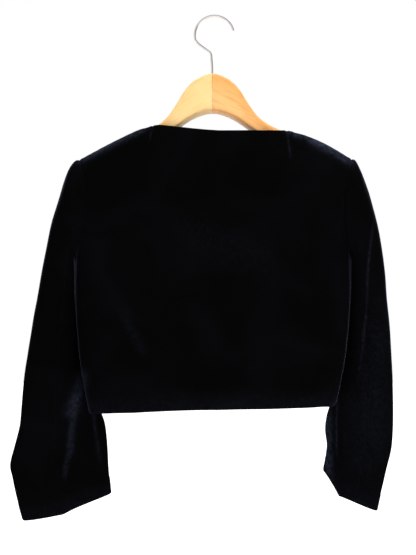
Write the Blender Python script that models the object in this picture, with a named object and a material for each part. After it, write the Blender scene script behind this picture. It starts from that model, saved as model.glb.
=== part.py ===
"""Cropped collarless velvet jacket hanging on a contoured wooden hanger with a wire hook.

Metres, +Z up. The origin is the inside top of the hook, where the hanger hangs on a rail.
The jacket's back faces -Y. Left and right are the sides seen from behind the jacket.
"""
import math

import bmesh
import bpy
import numpy as np
from mathutils import Vector

MM = 0.001
LEFT = -1
RIGHT = 1
BACK = -1
FRONT = 1

# Cloth
WALL = 2.0
SEAM_GAP = 0.3
JACKET_FORWARD = 25.0

# Body, as half widths, heights and depths from the plane of the side seams
UNDERARM_X = 214.0
UNDERARM_Z = -372.0
SHOULDER_TIP_X = {LEFT: -209.0, RIGHT: 217.0}
SHOULDER_RISE = {LEFT: 2.0, RIGHT: 4.5}
SHOULDER_TIP_Z = {LEFT: -217.0, RIGHT: -216.0}
NECK_POINT = 0.516
NECK_POINT_Z = {LEFT: -166.0, RIGHT: -177.0}
NECK_SHIFT = 12.0
NECK_SHIFT_CURVE = 1.5
NECK_POINT_DEPTH = -22.0
NECK_TURN = 0.35
NECK_RIDGE = 0.6
BACK_NECK_Z = -178.0
BACK_NECK_DEPTH = -45.0
BACK_NECK_CURVE = 1.4
FRONT_NECK_Z = -285.0
FRONT_NECK_DEPTH = 47.0
FRONT_EDGE_TOP = 1.5
FRONT_EDGE_HEM = 5.0
ARMHOLE_DEPTH = 48.0
ARMHOLE_SCOOP = {BACK: 18.0, FRONT: 25.0}
SIDE_ROUNDNESS = 2.4
SLIDE_SHARE = 0.7
LOWER_ROWS = 7
ARMHOLE_ROWS = 10
NECK_SHARES = (0.0, 0.28, 0.55, 0.77, 0.92, 1.0)
SHOULDER_COLUMNS = 6


def table(columns, rows):
    """Columns of a short table, by name."""
    return {name: np.array(values, dtype=float) for name, values in zip(columns, zip(*rows))}


SIDE_SEAM = table(("share", "half_width"), (
    (0.00, 193.0),
    (0.17, 202.0),
    (0.34, 208.5),
    (0.54, 213.0),
    (0.80, 215.5),
    (1.00, 214.0),
))

HEM = table(("across", "z"), (
    (-1.0, -614.5),
    (-0.6, -610.0),
    (0.0, -601.5),
    (0.6, -600.0),
    (0.9, -599.0),
    (1.0, -592.0),
))

BACK_PROFILE = table(("z", "depth"), (
    (-610.0, -55.0),
    (-480.0, -60.0),
    (-372.0, -64.0),
    (-300.0, -65.0),
    (-240.0, -60.0),
    (-170.0, -52.0),
))

FRONT_PROFILE = table(("z", "depth"), (
    (-610.0, 42.0),
    (-480.0, 48.0),
    (-372.0, 52.0),
    (-320.0, 51.0),
    (-170.0, 50.0),
))

# Sleeves, one row a ring from the armhole to the cuff
SLEEVE_COLUMNS = ("ring", "out_x", "out_y", "out_z", "in_x", "in_y", "in_z", "depth", "turn", "dip")
SLEEVES = {
    LEFT: table(SLEEVE_COLUMNS, (
        (0, 209, 0, -217, 214, 0, -372, 48, 0, 0),
        (1, 216, 0, -219, 221, 1, -374, 50, 0, 0),
        (2, 224, 1, -229, 223, 5, -382, 51, 0, 0),
        (3, 232, 2, -248, 218, 11, -393, 51, 1, 0),
        (4, 240, 2, -274, 213, 17, -409, 50, 3, 0),
        (5, 251.5, 3, -312, 209, 22, -432, 49, 5, 0),
        (6, 260.5, 3, -355, 206, 28, -462, 47, 8, 0),
        (7, 269.5, 4, -398, 204, 33, -494, 45, 11, 0),
        (8, 277.5, 5, -437, 202, 38, -525, 42, 14, 0),
        (9, 285.5, 8, -478, 199, 43, -555, 40, 17, 0),
        (10, 292.5, 10, -519, 194, 47, -583, 37, 20, 0),
        (11, 299.5, 13, -561, 187.5, 50, -608, 33, 22, 0),
        (12, 305.5, 17, -617, 177.5, 54, -636, 28, 24, 0),
        (13, 308.5, 18, -640, 174.5, 56, -655, 26, 25, 0),
        (14, 316.5, 20, -670, 172.5, 57, -678, 24, 25, 0),
        (15, 324, 22, -700, 171.5, 58, -700, 23, 25, 0),
        (16, 320.5, 23, -722, 170.5, 59, -720, 23, 25, 1),
        (17, 313.5, 24, -756, 168.5, 60, -740, 23, 25, 3),
        (18, 304, 25, -790, 167, 60, -756, 22, 25, 6.3),
    )),
    RIGHT: table(SLEEVE_COLUMNS, (
        (0, 217, 0, -216, 214, 0, -372, 48, 0, 0),
        (1, 223, 0, -218, 221, 1, -374, 50, 0, 0),
        (2, 229, 1, -229, 223, 5, -382, 51, 0, 0),
        (3, 237, 2, -248, 218, 11, -393, 51, 1, 0),
        (4, 246, 2, -274, 213, 17, -409, 50, 3, 0),
        (5, 256, 3, -312, 210, 23, -432, 49, 5, 0),
        (6, 264, 3, -355, 207, 29, -462, 47, 8, 0),
        (7, 270, 4, -398, 205, 35, -494, 45, 11, 0),
        (8, 274, 5, -437, 204, 41, -525, 42, 14, 0),
        (9, 279, 8, -478, 202, 48, -555, 40, 17, 0),
        (10, 282, 10, -519, 199, 55, -583, 37, 20, 0),
        (11, 285, 13, -561, 195, 62, -606, 33, 22, 0),
        (12, 287, 17, -612, 189, 70, -630, 28, 24, 0),
        (13, 287, 19, -645, 187, 76, -655, 26, 25, 0),
        (14, 285, 21, -675, 190.5, 81, -680, 24, 25, 0),
        (15, 278, 22, -705, 189.5, 86, -698, 23, 25, 2),
        (16, 273, 23, -728, 188.5, 89, -711, 23, 25, 6),
        (17, 268, 24, -750, 187, 92, -720, 23, 25, 11),
        (18, 263, 25, -774, 187, 95, -728, 24, 25, 20),
    )),
}
SCOOP_RINGS = 2.5
CUFF_CORNER = {LEFT: 92.0, RIGHT: 61.0}
CUFF_RISE = {LEFT: 5.0, RIGHT: 2.4}
CUFF_FALL = 1.7
REST_GAP = 4.0
REST_SOFT = 2.0
REST_FADE = 0.12
HEM_Z = -601.0
HIND_SEAM = 4
FOREARM_SEAM = 17
RING_POINTS = 2 * ARMHOLE_ROWS

# Largest folds, as ridges raised towards -Y on the side seen from behind
FOLDS = table(("x0", "z0", "x1", "z1", "width", "height"), (
    (-196, -552, -222, -640, 15, 7),
    (-222, -640, -236, -735, 14, 4),
    (236, -600, 262, -690, 14, 4),
    (205, -668, 232, -705, 12, 5),
))

# Hanger
HANGER_X = -1.5
HANGER_TILT = 0.0175
ARM_COLUMNS = ("x", "top", "bottom", "y", "half_thick")
ARM = table(ARM_COLUMNS, (
    (0.15, -88.8, -148, 0, 14),
    (8, -90.3, -148.5, 0.4, 14),
    (16, -93.3, -150.5, 1, 14),
    (30, -101.2, -156, 2, 14),
    (42, -113.6, -163, 3.2, 14),
    (52, -129.6, -170, 4.4, 14),
    (67, -151.2, -180, 6, 13.5),
    (82, -163.8, -190, 7.5, 13),
    (100, -172.5, -200, 9.5, 12),
    (125, -183.8, -209, 12, 11),
    (155, -193.2, -217, 16, 10.5),
    (180, -204.2, -225, 19, 9.5),
    (190, -210, -225, 20.5, 7.5),
    (195, -214.5, -222, 21.2, 3.5),
))
ARM_RING = 16
ARM_SQUARENESS = 3.2
BORE_CLEARANCE = 0.3
BORE_BOTTOM = -110.5

# Hook
WIRE_RADIUS = 1.8
HOOK_RADIUS = 30.2
HOOK_CENTRE_X = 2.0
HOOK_START = 13.0
HOOK_END = 193.0
HOOK_STEPS = 22
SHANK_X = HANGER_X
SHANK_TOP_OF_BORE = -80.0
SHANK_BOTTOM = -110.0
HOOK_TAIL = ((-24.4, -39.4), (-20.6, -43.0), (-8.8, -51.6), (-5.0, -54.6), (-3.2, -58.0), (-2.5, -64.0))
WIRE_SIDES = 3


def smooth(rows, key, name, at):
    """A table's column read between its rows, along cubic pieces."""
    places = rows[key]
    values = rows[name]
    slopes = np.gradient(values, places)
    low = int(np.clip(np.searchsorted(places, at) - 1, 0, len(places) - 2))
    step = places[low + 1] - places[low]
    t = float(np.clip((at - places[low]) / step, 0.0, 1.0))
    rise = t * t * (3.0 - 2.0 * t)
    return (values[low] * (1.0 - rise) + values[low + 1] * rise
            + step * slopes[low] * t * (1.0 - t) ** 2
            - step * slopes[low + 1] * t * t * (1.0 - t))


def ease(t):
    """A rise from 0 to 1 with level ends."""
    t = min(max(t, 0.0), 1.0)
    return t * t * (3.0 - 2.0 * t)


def top_edge(side, out, face):
    """Depth and height of a panel's top edge: the shoulder seam, then the neckline."""
    if out >= NECK_POINT:
        t = (out - NECK_POINT) / (1.0 - NECK_POINT)
        depth = NECK_POINT_DEPTH * (1.0 - t)
        line = NECK_POINT_Z[side] + (SHOULDER_TIP_Z[side] - NECK_POINT_Z[side]) * t
        return depth, line + SHOULDER_RISE[side] * math.sin(math.pi * t)
    t = out / NECK_POINT
    if face == BACK:
        depth = NECK_POINT_DEPTH + (BACK_NECK_DEPTH - NECK_POINT_DEPTH) * (1.0 - t * t) ** NECK_TURN
        return depth, BACK_NECK_Z + (NECK_POINT_Z[side] - BACK_NECK_Z) * t ** BACK_NECK_CURVE
    depth = NECK_POINT_DEPTH + (FRONT_NECK_DEPTH - NECK_POINT_DEPTH) * (1.0 - t * t) ** NECK_TURN
    return depth, FRONT_NECK_Z + (NECK_POINT_Z[side] - FRONT_NECK_Z) * ease(t)


def armhole_edge(angle, side, face):
    """Width and depth of the armhole seam, from the underarm (0) to the shoulder tip (pi)."""
    share = 0.5 - 0.5 * math.cos(angle)
    x = side * UNDERARM_X + (SHOULDER_TIP_X[side] - side * UNDERARM_X) * share
    x -= side * ARMHOLE_SCOOP[face] * math.sin(angle) ** 2
    return x, face * ARMHOLE_DEPTH * math.sin(angle)


def body_point(side, out, row, face):
    """A point of the body: out runs from the centre (0) to the side (1), row from the hem up."""
    profile = BACK_PROFILE if face == BACK else FRONT_PROFILE
    edge_depth, top_z = top_edge(side, out, face)
    hem_z = smooth(HEM, "across", "z", side * out)
    opening = max(0.0, 1.0 - out / NECK_POINT) if face == FRONT else 0.0
    angle = math.pi * max(row - LOWER_ROWS, 0) / ARMHOLE_ROWS
    if row <= LOWER_ROWS:
        share = row / LOWER_ROWS
        seam_x = smooth(SIDE_SEAM, "share", "half_width", share)
        seam_y = 0.0
        z = hem_z + (UNDERARM_Z - hem_z) * share
        slide = 0.0
        shift = side * opening * (FRONT_EDGE_HEM + (FRONT_EDGE_TOP - FRONT_EDGE_HEM) * share)
    else:
        share = 0.5 - 0.5 * math.cos(angle)
        seam_x, seam_y = armhole_edge(angle, side, face)
        z = UNDERARM_Z + (top_z - UNDERARM_Z) * share
        slide = ease(share / SLIDE_SHARE)
        shift = NECK_SHIFT * share ** NECK_SHIFT_CURVE * min(1.0, (1.0 - out) / (1.0 - NECK_POINT))
        shift += side * opening * FRONT_EDGE_TOP
    if angle > math.pi / 2.0:
        seam_y = ARMHOLE_DEPTH
    deep = abs(smooth(profile, "z", "depth", z))
    cut = 1.0 - abs(seam_y / deep) ** SIDE_ROUNDNESS
    width = abs(seam_x) / cut ** (1.0 / SIDE_ROUNDNESS)
    curved = width * math.sin(math.asin(cut ** 0.5) * out) ** (2.0 / SIDE_ROUNDNESS)
    x = curved + (abs(seam_x) * out - curved) * slide
    y = face * deep * max(1.0 - (x / width) ** SIDE_ROUNDNESS, 0.0) ** (1.0 / SIDE_ROUNDNESS)
    if angle > math.pi / 2.0:
        turn = NECK_RIDGE + (1.0 - NECK_RIDGE) * ease((out - NECK_POINT) / (1.0 - NECK_POINT))
        y = edge_depth + (y - edge_depth) * math.sin(angle) ** turn
    return Vector((side * x + shift, y, z))


def fold_lift(x, z):
    """Height of the large folds over a point seen from behind."""
    lift = 0.0
    for x0, z0, x1, z1, width, height in zip(*FOLDS.values()):
        run = np.array((x1 - x0, z1 - z0))
        along = float(np.dot((x - x0, z - z0), run) / np.dot(run, run))
        near = min(max(along, 0.0), 1.0)
        gap = math.hypot(x - x0 - run[0] * near, z - z0 - run[1] * near)
        lift += height * math.exp(-(gap / width) ** 2)
    return lift


def rest_push(out, y, z):
    """How far a sleeve is held out where it rests against the side of the body."""
    share = (z - HEM_Z) / (UNDERARM_Z - HEM_Z)
    near = ease((1.0 - share) / REST_FADE) * ease((share + REST_FADE) / REST_FADE)
    deep = smooth(BACK_PROFILE if y < 0.0 else FRONT_PROFILE, "z", "depth", z)
    if near == 0.0 or abs(y) >= abs(deep):
        return 0.0
    width = smooth(SIDE_SEAM, "share", "half_width", max(share, 0.0))
    body = width * (1.0 - abs(y / deep) ** SIDE_ROUNDNESS) ** (1.0 / SIDE_ROUNDNESS) + REST_GAP * near
    return near * ((body - out) + math.hypot(body - out, REST_SOFT)) / 2.0


def cuff_dip(side, turned):
    """Share of a ring's dip: it grows to the cuff's back corner and falls off to the outer edge."""
    corner = math.radians(CUFF_CORNER[side])
    t = min(turned % (2.0 * math.pi), math.pi)
    rise = min(t / corner, 1.0) ** CUFF_RISE[side]
    return rise * min((math.pi - t) / (math.pi - corner), 1.0) ** CUFF_FALL


def sleeve_point(side, ring, step):
    """A point of a sleeve: ring 0 is the armhole, step runs round from the underarm by the back."""
    rows = SLEEVES[side]
    outer = Vector([smooth(rows, "ring", name, ring) for name in ("out_x", "out_y", "out_z")])
    inner = Vector([smooth(rows, "ring", name, ring) for name in ("in_x", "in_y", "in_z")])
    depth = smooth(rows, "ring", "depth", ring)
    angle = 2.0 * math.pi * step / RING_POINTS
    face = BACK if math.sin(angle) > 0.0 else FRONT
    turned = angle + math.radians(smooth(rows, "ring", "turn", ring))
    point = (outer + inner) / 2.0 - (outer - inner) / 2.0 * math.cos(turned)
    point.y -= depth * math.sin(turned)
    point.z -= smooth(rows, "ring", "dip", ring) * cuff_dip(side, turned)
    scoop = ARMHOLE_SCOOP[face] * math.sin(angle) ** 2 * (1.0 - ease(ring / SCOOP_RINGS))
    point.x = side * (point.x - scoop)
    point.x += side * rest_push(abs(point.x), point.y, point.z)
    point.y -= fold_lift(point.x, point.z) * max(math.sin(turned), 0.0) ** 0.5
    return point


def panel_columns():
    """Places from the centre to the side of a panel, with one at the neck point."""
    neck = [NECK_POINT * share for share in NECK_SHARES]
    step = (1.0 - NECK_POINT) / SHOULDER_COLUMNS
    return neck + [NECK_POINT + step * (i + 1) for i in range(SHOULDER_COLUMNS)]


def body_panel(places, face):
    """Rows of points of a body panel, ordered so that its faces point out."""
    rows = range(LOWER_ROWS + ARMHOLE_ROWS + 1)
    return [[body_point(side, out, row, face) for side, out in places] for row in rows]


def sleeve_panel(side, first, last):
    """Rows of points of a sleeve panel between two seams, ordered so that its faces point out."""
    steps = list(range(first, last + 1))
    if side == LEFT:
        steps.reverse()
    rings = SLEEVES[side]["ring"][::-1]
    return [[sleeve_point(side, ring, step) for step in steps] for ring in rings]


def seam_normals(panels):
    """Smooth normals of the whole jacket, so that two panels agree along their seam."""
    skin = bmesh.new()
    corners = {}
    for name, rows in panels.items():
        corners[name] = [[skin.verts.new(point) for point in row] for row in rows]
        for low, high in zip(corners[name], corners[name][1:]):
            for a, b, c, d in zip(low, low[1:], high[1:], high):
                skin.faces.new((a, b, c, d))
    skin.normal_update()
    shared = {}
    for vert in skin.verts:
        shared.setdefault(place_key(vert), []).append(vert.normal.copy())
    marks = {}
    for name, rows in corners.items():
        marks[name] = [[seam_mark(shared[place_key(vert)]) for vert in row] for row in rows]
    skin.free()
    return marks


def place_key(vert):
    return tuple(round(value, 2) for value in vert.co)


def seam_mark(normals):
    """The shared normal at a point, and whether two panels meet there."""
    total = sum(normals, Vector((0.0, 0.0, 0.0)))
    return total.normalized(), len(normals) > 1


def pulled_back(rows, marks, r, c):
    """A seam point moved half the seam gap into its own panel."""
    point = rows[r][c].copy()
    if not marks[r][c][1]:
        return point
    last_r = len(rows) - 1
    last_c = len(rows[0]) - 1
    for dr, dc, on_edge in ((1, 0, r == 0), (-1, 0, r == last_r), (0, 1, c == 0), (0, -1, c == last_c)):
        if on_edge and is_seam(marks, r, c, dr):
            point += (rows[r + dr][c + dc] - rows[r][c]).normalized() * SEAM_GAP / 2.0
    return point


def is_seam(marks, r, c, dr):
    """Whether the panel's edge through this point is sewn there."""
    last_r = len(marks) - 1
    last_c = len(marks[0]) - 1
    if dr:
        near = [k for k in (c - 1, c + 1) if 0 <= k <= last_c]
        return any(marks[r][k][1] for k in near)
    near = [k for k in (r - 1, r + 1) if 0 <= k <= last_r]
    return any(marks[k][c][1] for k in near)


def cloth_object(name, rows, marks, material, home):
    """A panel with its wall laid inside it and its edges closed."""
    forward = Vector((0.0, JACKET_FORWARD, 0.0))
    bm = bmesh.new()
    outer = []
    inner = []
    for r in range(len(rows)):
        outer_line = []
        inner_line = []
        for c in range(len(rows[0])):
            point = pulled_back(rows, marks, r, c) + forward
            outer_line.append(bm.verts.new(point * MM))
            inner_line.append(bm.verts.new((point - marks[r][c][0] * WALL) * MM))
        outer.append(outer_line)
        inner.append(inner_line)
    for sheet in (outer, inner):
        for low, high in zip(sheet, sheet[1:]):
            for a, b, c, d in zip(low, low[1:], high[1:], high):
                bm.faces.new((a, b, c, d) if sheet is outer else (d, c, b, a))
    for out, back in zip(rim(outer), rim(inner)):
        close_rim(bm, out, back)
    bmesh.ops.recalc_face_normals(bm, faces=bm.faces)
    return mesh_object(name, bm, material, home)


def close_rim(bm, out, back):
    """A wall's edge as two triangles, split the same way on both sides of a seam."""
    run = out[1].co - out[0].co
    axis = max(range(3), key=lambda k: abs(run[k]))
    if run[axis] > 0.0:
        bm.faces.new((out[1], out[0], back[1]))
        bm.faces.new((out[0], back[0], back[1]))
    else:
        bm.faces.new((out[1], out[0], back[0]))
        bm.faces.new((out[1], back[0], back[1]))


def rim(sheet):
    """Edges round a sheet of rows, in order."""
    loop = list(sheet[0])
    loop += [row[-1] for row in sheet[1:]]
    loop += sheet[-1][-2::-1]
    loop += [row[0] for row in sheet[-2:0:-1]]
    return list(zip(loop, loop[1:] + loop[:1]))


def mesh_object(name, bm, material, home):
    mesh = bpy.data.meshes.new(name)
    bm.to_mesh(mesh)
    bm.free()
    mesh.materials.append(material)
    made = bpy.data.objects.new(name, mesh)
    home.objects.link(made)
    return made


def hanger_arm(name, side, material, home):
    """Half of the wooden hanger, lofted from its rounded sections."""
    bm = bmesh.new()
    rings = []
    for x, top, bottom, y, half_thick in zip(*(ARM[column] for column in ARM_COLUMNS)):
        ring = []
        for i in range(ARM_RING):
            angle = 2.0 * math.pi * (i + 0.5) / ARM_RING
            across = math.copysign(abs(math.cos(angle)) ** (2.0 / ARM_SQUARENESS), math.cos(angle))
            up = math.copysign(abs(math.sin(angle)) ** (2.0 / ARM_SQUARENESS), math.sin(angle))
            z = (top + bottom) / 2.0 + (top - bottom) / 2.0 * up + side * x * HANGER_TILT
            ring.append(bm.verts.new(Vector((HANGER_X + side * x, y + half_thick * across, z)) * MM))
        rings.append(ring)
    for near, far in zip(rings, rings[1:]):
        for i in range(ARM_RING):
            k = (i + 1) % ARM_RING
            bm.faces.new((near[i], near[k], far[k], far[i]))
    bm.faces.new(rings[0])
    bm.faces.new(rings[-1])
    bmesh.ops.recalc_face_normals(bm, faces=bm.faces)
    return mesh_object(name, bm, material, home)


def bore_cutter(name, home):
    """The round hole that takes the hook's shank."""
    bm = bmesh.new()
    length = SHANK_TOP_OF_BORE - BORE_BOTTOM
    bmesh.ops.create_cone(bm, cap_ends=True, segments=16, radius1=(WIRE_RADIUS + BORE_CLEARANCE) * MM,
                          radius2=(WIRE_RADIUS + BORE_CLEARANCE) * MM, depth=length * MM)
    bmesh.ops.translate(bm, verts=bm.verts, vec=Vector((SHANK_X, 0.0, BORE_BOTTOM + length / 2.0)) * MM)
    cutter = mesh_object(name, bm, bpy.data.materials["beech"], home)
    cutter.hide_render = True
    cutter.display_type = "WIRE"
    return cutter


def hook(name, material, home):
    """The wire hook, swept along its bend from the free end to the foot of the shank."""
    centre_z = WIRE_RADIUS - HOOK_RADIUS
    path = []
    for i in range(HOOK_STEPS + 1):
        angle = math.radians(HOOK_START + (HOOK_END - HOOK_START) * i / HOOK_STEPS)
        x = HOOK_CENTRE_X + HOOK_RADIUS * math.cos(angle)
        path.append((x, centre_z + HOOK_RADIUS * math.sin(angle)))
    path += [*HOOK_TAIL, (SHANK_X, SHANK_TOP_OF_BORE), (SHANK_X, SHANK_BOTTOM)]
    wire = bpy.data.curves.new(name + "_path", "CURVE")
    wire.dimensions = "3D"
    wire.bevel_depth = WIRE_RADIUS * MM
    wire.bevel_resolution = WIRE_SIDES
    wire.use_fill_caps = True
    spline = wire.splines.new("POLY")
    spline.points.add(len(path) - 1)
    for point, (x, z) in zip(spline.points, path):
        point.co = (x * MM, 0.0, z * MM, 1.0)
    swept = bpy.data.objects.new(name + "_path", wire)
    home.objects.link(swept)
    depsgraph = bpy.context.evaluated_depsgraph_get()
    bm = bmesh.new()
    bm.from_mesh(bpy.data.meshes.new_from_object(swept.evaluated_get(depsgraph)))
    bpy.data.objects.remove(swept)
    bmesh.ops.remove_doubles(bm, verts=bm.verts, dist=1e-6)
    bmesh.ops.recalc_face_normals(bm, faces=bm.faces)
    return mesh_object(name, bm, material, home)


def plain_material(name, colour, roughness, metallic):
    made = bpy.data.materials.new(name)
    made.use_nodes = True
    shader = made.node_tree.nodes["Principled BSDF"]
    shader.inputs["Base Color"].default_value = (*colour, 1.0)
    shader.inputs["Roughness"].default_value = roughness
    shader.inputs["Metallic"].default_value = metallic
    return made


def main():
    for old in list(bpy.data.objects):
        bpy.data.objects.remove(old)
    scene = bpy.context.scene
    jacket = bpy.data.collections.new("collarless jacket on a hanger")
    cutters = bpy.data.collections.new("cutters")
    scene.collection.children.link(jacket)
    scene.collection.children.link(cutters)

    velvet = plain_material("velvet", (0.012, 0.014, 0.024), 0.9, 0.0)
    beech = plain_material("beech", (0.72, 0.52, 0.28), 0.5, 0.0)
    chrome = plain_material("chrome", (0.8, 0.8, 0.82), 0.12, 1.0)

    left_half = [(LEFT, out) for out in panel_columns()]
    right_half = [(RIGHT, out) for out in panel_columns()]
    turn = RING_POINTS
    panels = {
        "back": body_panel(left_half[:0:-1] + right_half, BACK),
        "front_left": body_panel(left_half, FRONT),
        "front_right": body_panel(right_half[::-1], FRONT),
        "sleeve_left_upper": sleeve_panel(LEFT, HIND_SEAM, FOREARM_SEAM),
        "sleeve_left_under": sleeve_panel(LEFT, FOREARM_SEAM, turn + HIND_SEAM),
        "sleeve_right_upper": sleeve_panel(RIGHT, HIND_SEAM, FOREARM_SEAM),
        "sleeve_right_under": sleeve_panel(RIGHT, FOREARM_SEAM, turn + HIND_SEAM),
    }
    marks = seam_normals(panels)
    for name, rows in panels.items():
        cloth_object(name, rows, marks[name], velvet, jacket)

    bore = bore_cutter("shank_bore", cutters)
    for name, side in (("hanger_arm_left", LEFT), ("hanger_arm_right", RIGHT)):
        arm = hanger_arm(name, side, beech, jacket)
        cut = arm.modifiers.new("shank bore", "BOOLEAN")
        cut.operation = "DIFFERENCE"
        cut.solver = "EXACT"
        cut.object = bore
    hook("hanger_hook", chrome, jacket)


main()
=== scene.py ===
"""Cropped collarless velvet jacket on a wooden hanger, dressed over its packed solids.

The tables are in millimetres and the meshes in metres, in the frame of the solids: +Z is up, the jacket's
back faces -Y and the origin is the inside top of the hook. Left and right are the sides seen from behind.
"""

import functools
import math

import bmesh
import bpy
import numpy as np
from bpy.props import FloatProperty, FloatVectorProperty, IntProperty, PointerProperty
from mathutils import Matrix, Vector, kdtree


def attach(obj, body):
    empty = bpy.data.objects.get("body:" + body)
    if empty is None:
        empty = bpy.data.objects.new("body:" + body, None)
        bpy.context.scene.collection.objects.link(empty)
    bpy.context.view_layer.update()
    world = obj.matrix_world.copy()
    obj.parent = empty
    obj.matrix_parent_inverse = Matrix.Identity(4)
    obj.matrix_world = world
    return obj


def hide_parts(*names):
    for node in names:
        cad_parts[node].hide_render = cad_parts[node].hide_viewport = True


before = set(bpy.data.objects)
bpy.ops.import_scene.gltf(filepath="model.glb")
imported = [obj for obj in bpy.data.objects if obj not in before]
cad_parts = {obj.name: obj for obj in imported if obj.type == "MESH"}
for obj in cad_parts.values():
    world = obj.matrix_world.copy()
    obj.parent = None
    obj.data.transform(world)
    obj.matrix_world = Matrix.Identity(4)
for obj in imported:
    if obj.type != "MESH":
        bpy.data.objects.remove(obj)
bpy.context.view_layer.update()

bl_info = {
    "name": "Collarless velvet jacket",
    "version": (1, 0, 0),
    "blender": (4, 5, 0),
    "location": "3D View > Sidebar > Jacket",
    "description": "Dresses the packed solids of a velvet jacket on a wooden hanger, in a plain studio",
    "category": "Object",
}

MM = 0.001
LEFT = -1
RIGHT = 1
BACK = -1
FRONT = 1
SIDE_NAMES = {LEFT: "left", RIGHT: "right"}

# Cut of the jacket, in the sizes of its solids
JACKET_FORWARD = 25.0
UNDERARM_X = 214.0
UNDERARM_Z = -372.0
SHOULDER_TIP_X = {LEFT: -209.0, RIGHT: 217.0}
SHOULDER_RISE = {LEFT: 2.0, RIGHT: 4.5}
SHOULDER_TIP_Z = {LEFT: -217.0, RIGHT: -216.0}
NECK_POINT = 0.516
NECK_POINT_Z = {LEFT: -166.0, RIGHT: -177.0}
NECK_SOFT = {LEFT: 3.0, RIGHT: 1.0}
NECK_SOFT_SPAN = 0.05
NECK_SHIFT = 12.0
NECK_SHIFT_CURVE = 1.5
NECK_POINT_DEPTH = -22.0
NECK_TURN = 0.35
NECK_RIDGE = 0.6
BACK_NECK_Z = -178.0
BACK_NECK_DEPTH = -45.0
BACK_NECK_CURVE = 1.4
FRONT_NECK_Z = -285.0
FRONT_NECK_DEPTH = 47.0
FRONT_EDGE_TOP = 1.5
FRONT_EDGE_HEM = 5.0
ARMHOLE_DEPTH = 48.0
ARMHOLE_SCOOP = {BACK: 18.0, FRONT: 25.0}
SIDE_ROUNDNESS = 2.4
SLIDE_SHARE = 0.7
LOWER_ROWS = 7
ARMHOLE_ROWS = 10
NECK_SHARES = (0.0, 0.28, 0.55, 0.77, 0.92, 1.0)
SHOULDER_COLUMNS = 6
SCOOP_RINGS = 2.5
CUFF_CORNER = {LEFT: 92.0, RIGHT: 61.0}
CUFF_RISE = {LEFT: 5.0, RIGHT: 2.4}
CUFF_FALL = 1.7
REST_GAP = 1.0
REST_SOFT = 1.2
REST_FADE = 0.12
REST_TOP_FADE = 0.05
HEM_Z = -601.0
HIND_SEAM = 4
FOREARM_SEAM = 17
RING_POINTS = 2 * ARMHOLE_ROWS


def table(columns, rows):
    """Columns of a short table, by name."""
    return {name: np.array(values, dtype=float) for name, values in zip(columns, zip(*rows))}


SIDE_SEAM = table(("share", "half_width"), (
    (0.00, 193.0),
    (0.17, 202.0),
    (0.34, 208.5),
    (0.54, 213.0),
    (0.80, 215.5),
    (1.00, 214.0),
))

HEM = table(("across", "z"), (
    (-1.0, -614.5),
    (-0.6, -610.0),
    (0.0, -601.5),
    (0.6, -600.0),
    (0.9, -599.0),
    (1.0, -592.0),
))

PROFILE = {
    BACK: table(("z", "depth"), (
        (-610.0, -55.0),
        (-480.0, -60.0),
        (-372.0, -64.0),
        (-300.0, -65.0),
        (-240.0, -60.0),
        (-170.0, -52.0),
    )),
    FRONT: table(("z", "depth"), (
        (-610.0, 42.0),
        (-480.0, 48.0),
        (-372.0, 52.0),
        (-320.0, 51.0),
        (-170.0, 50.0),
    )),
}

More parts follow.
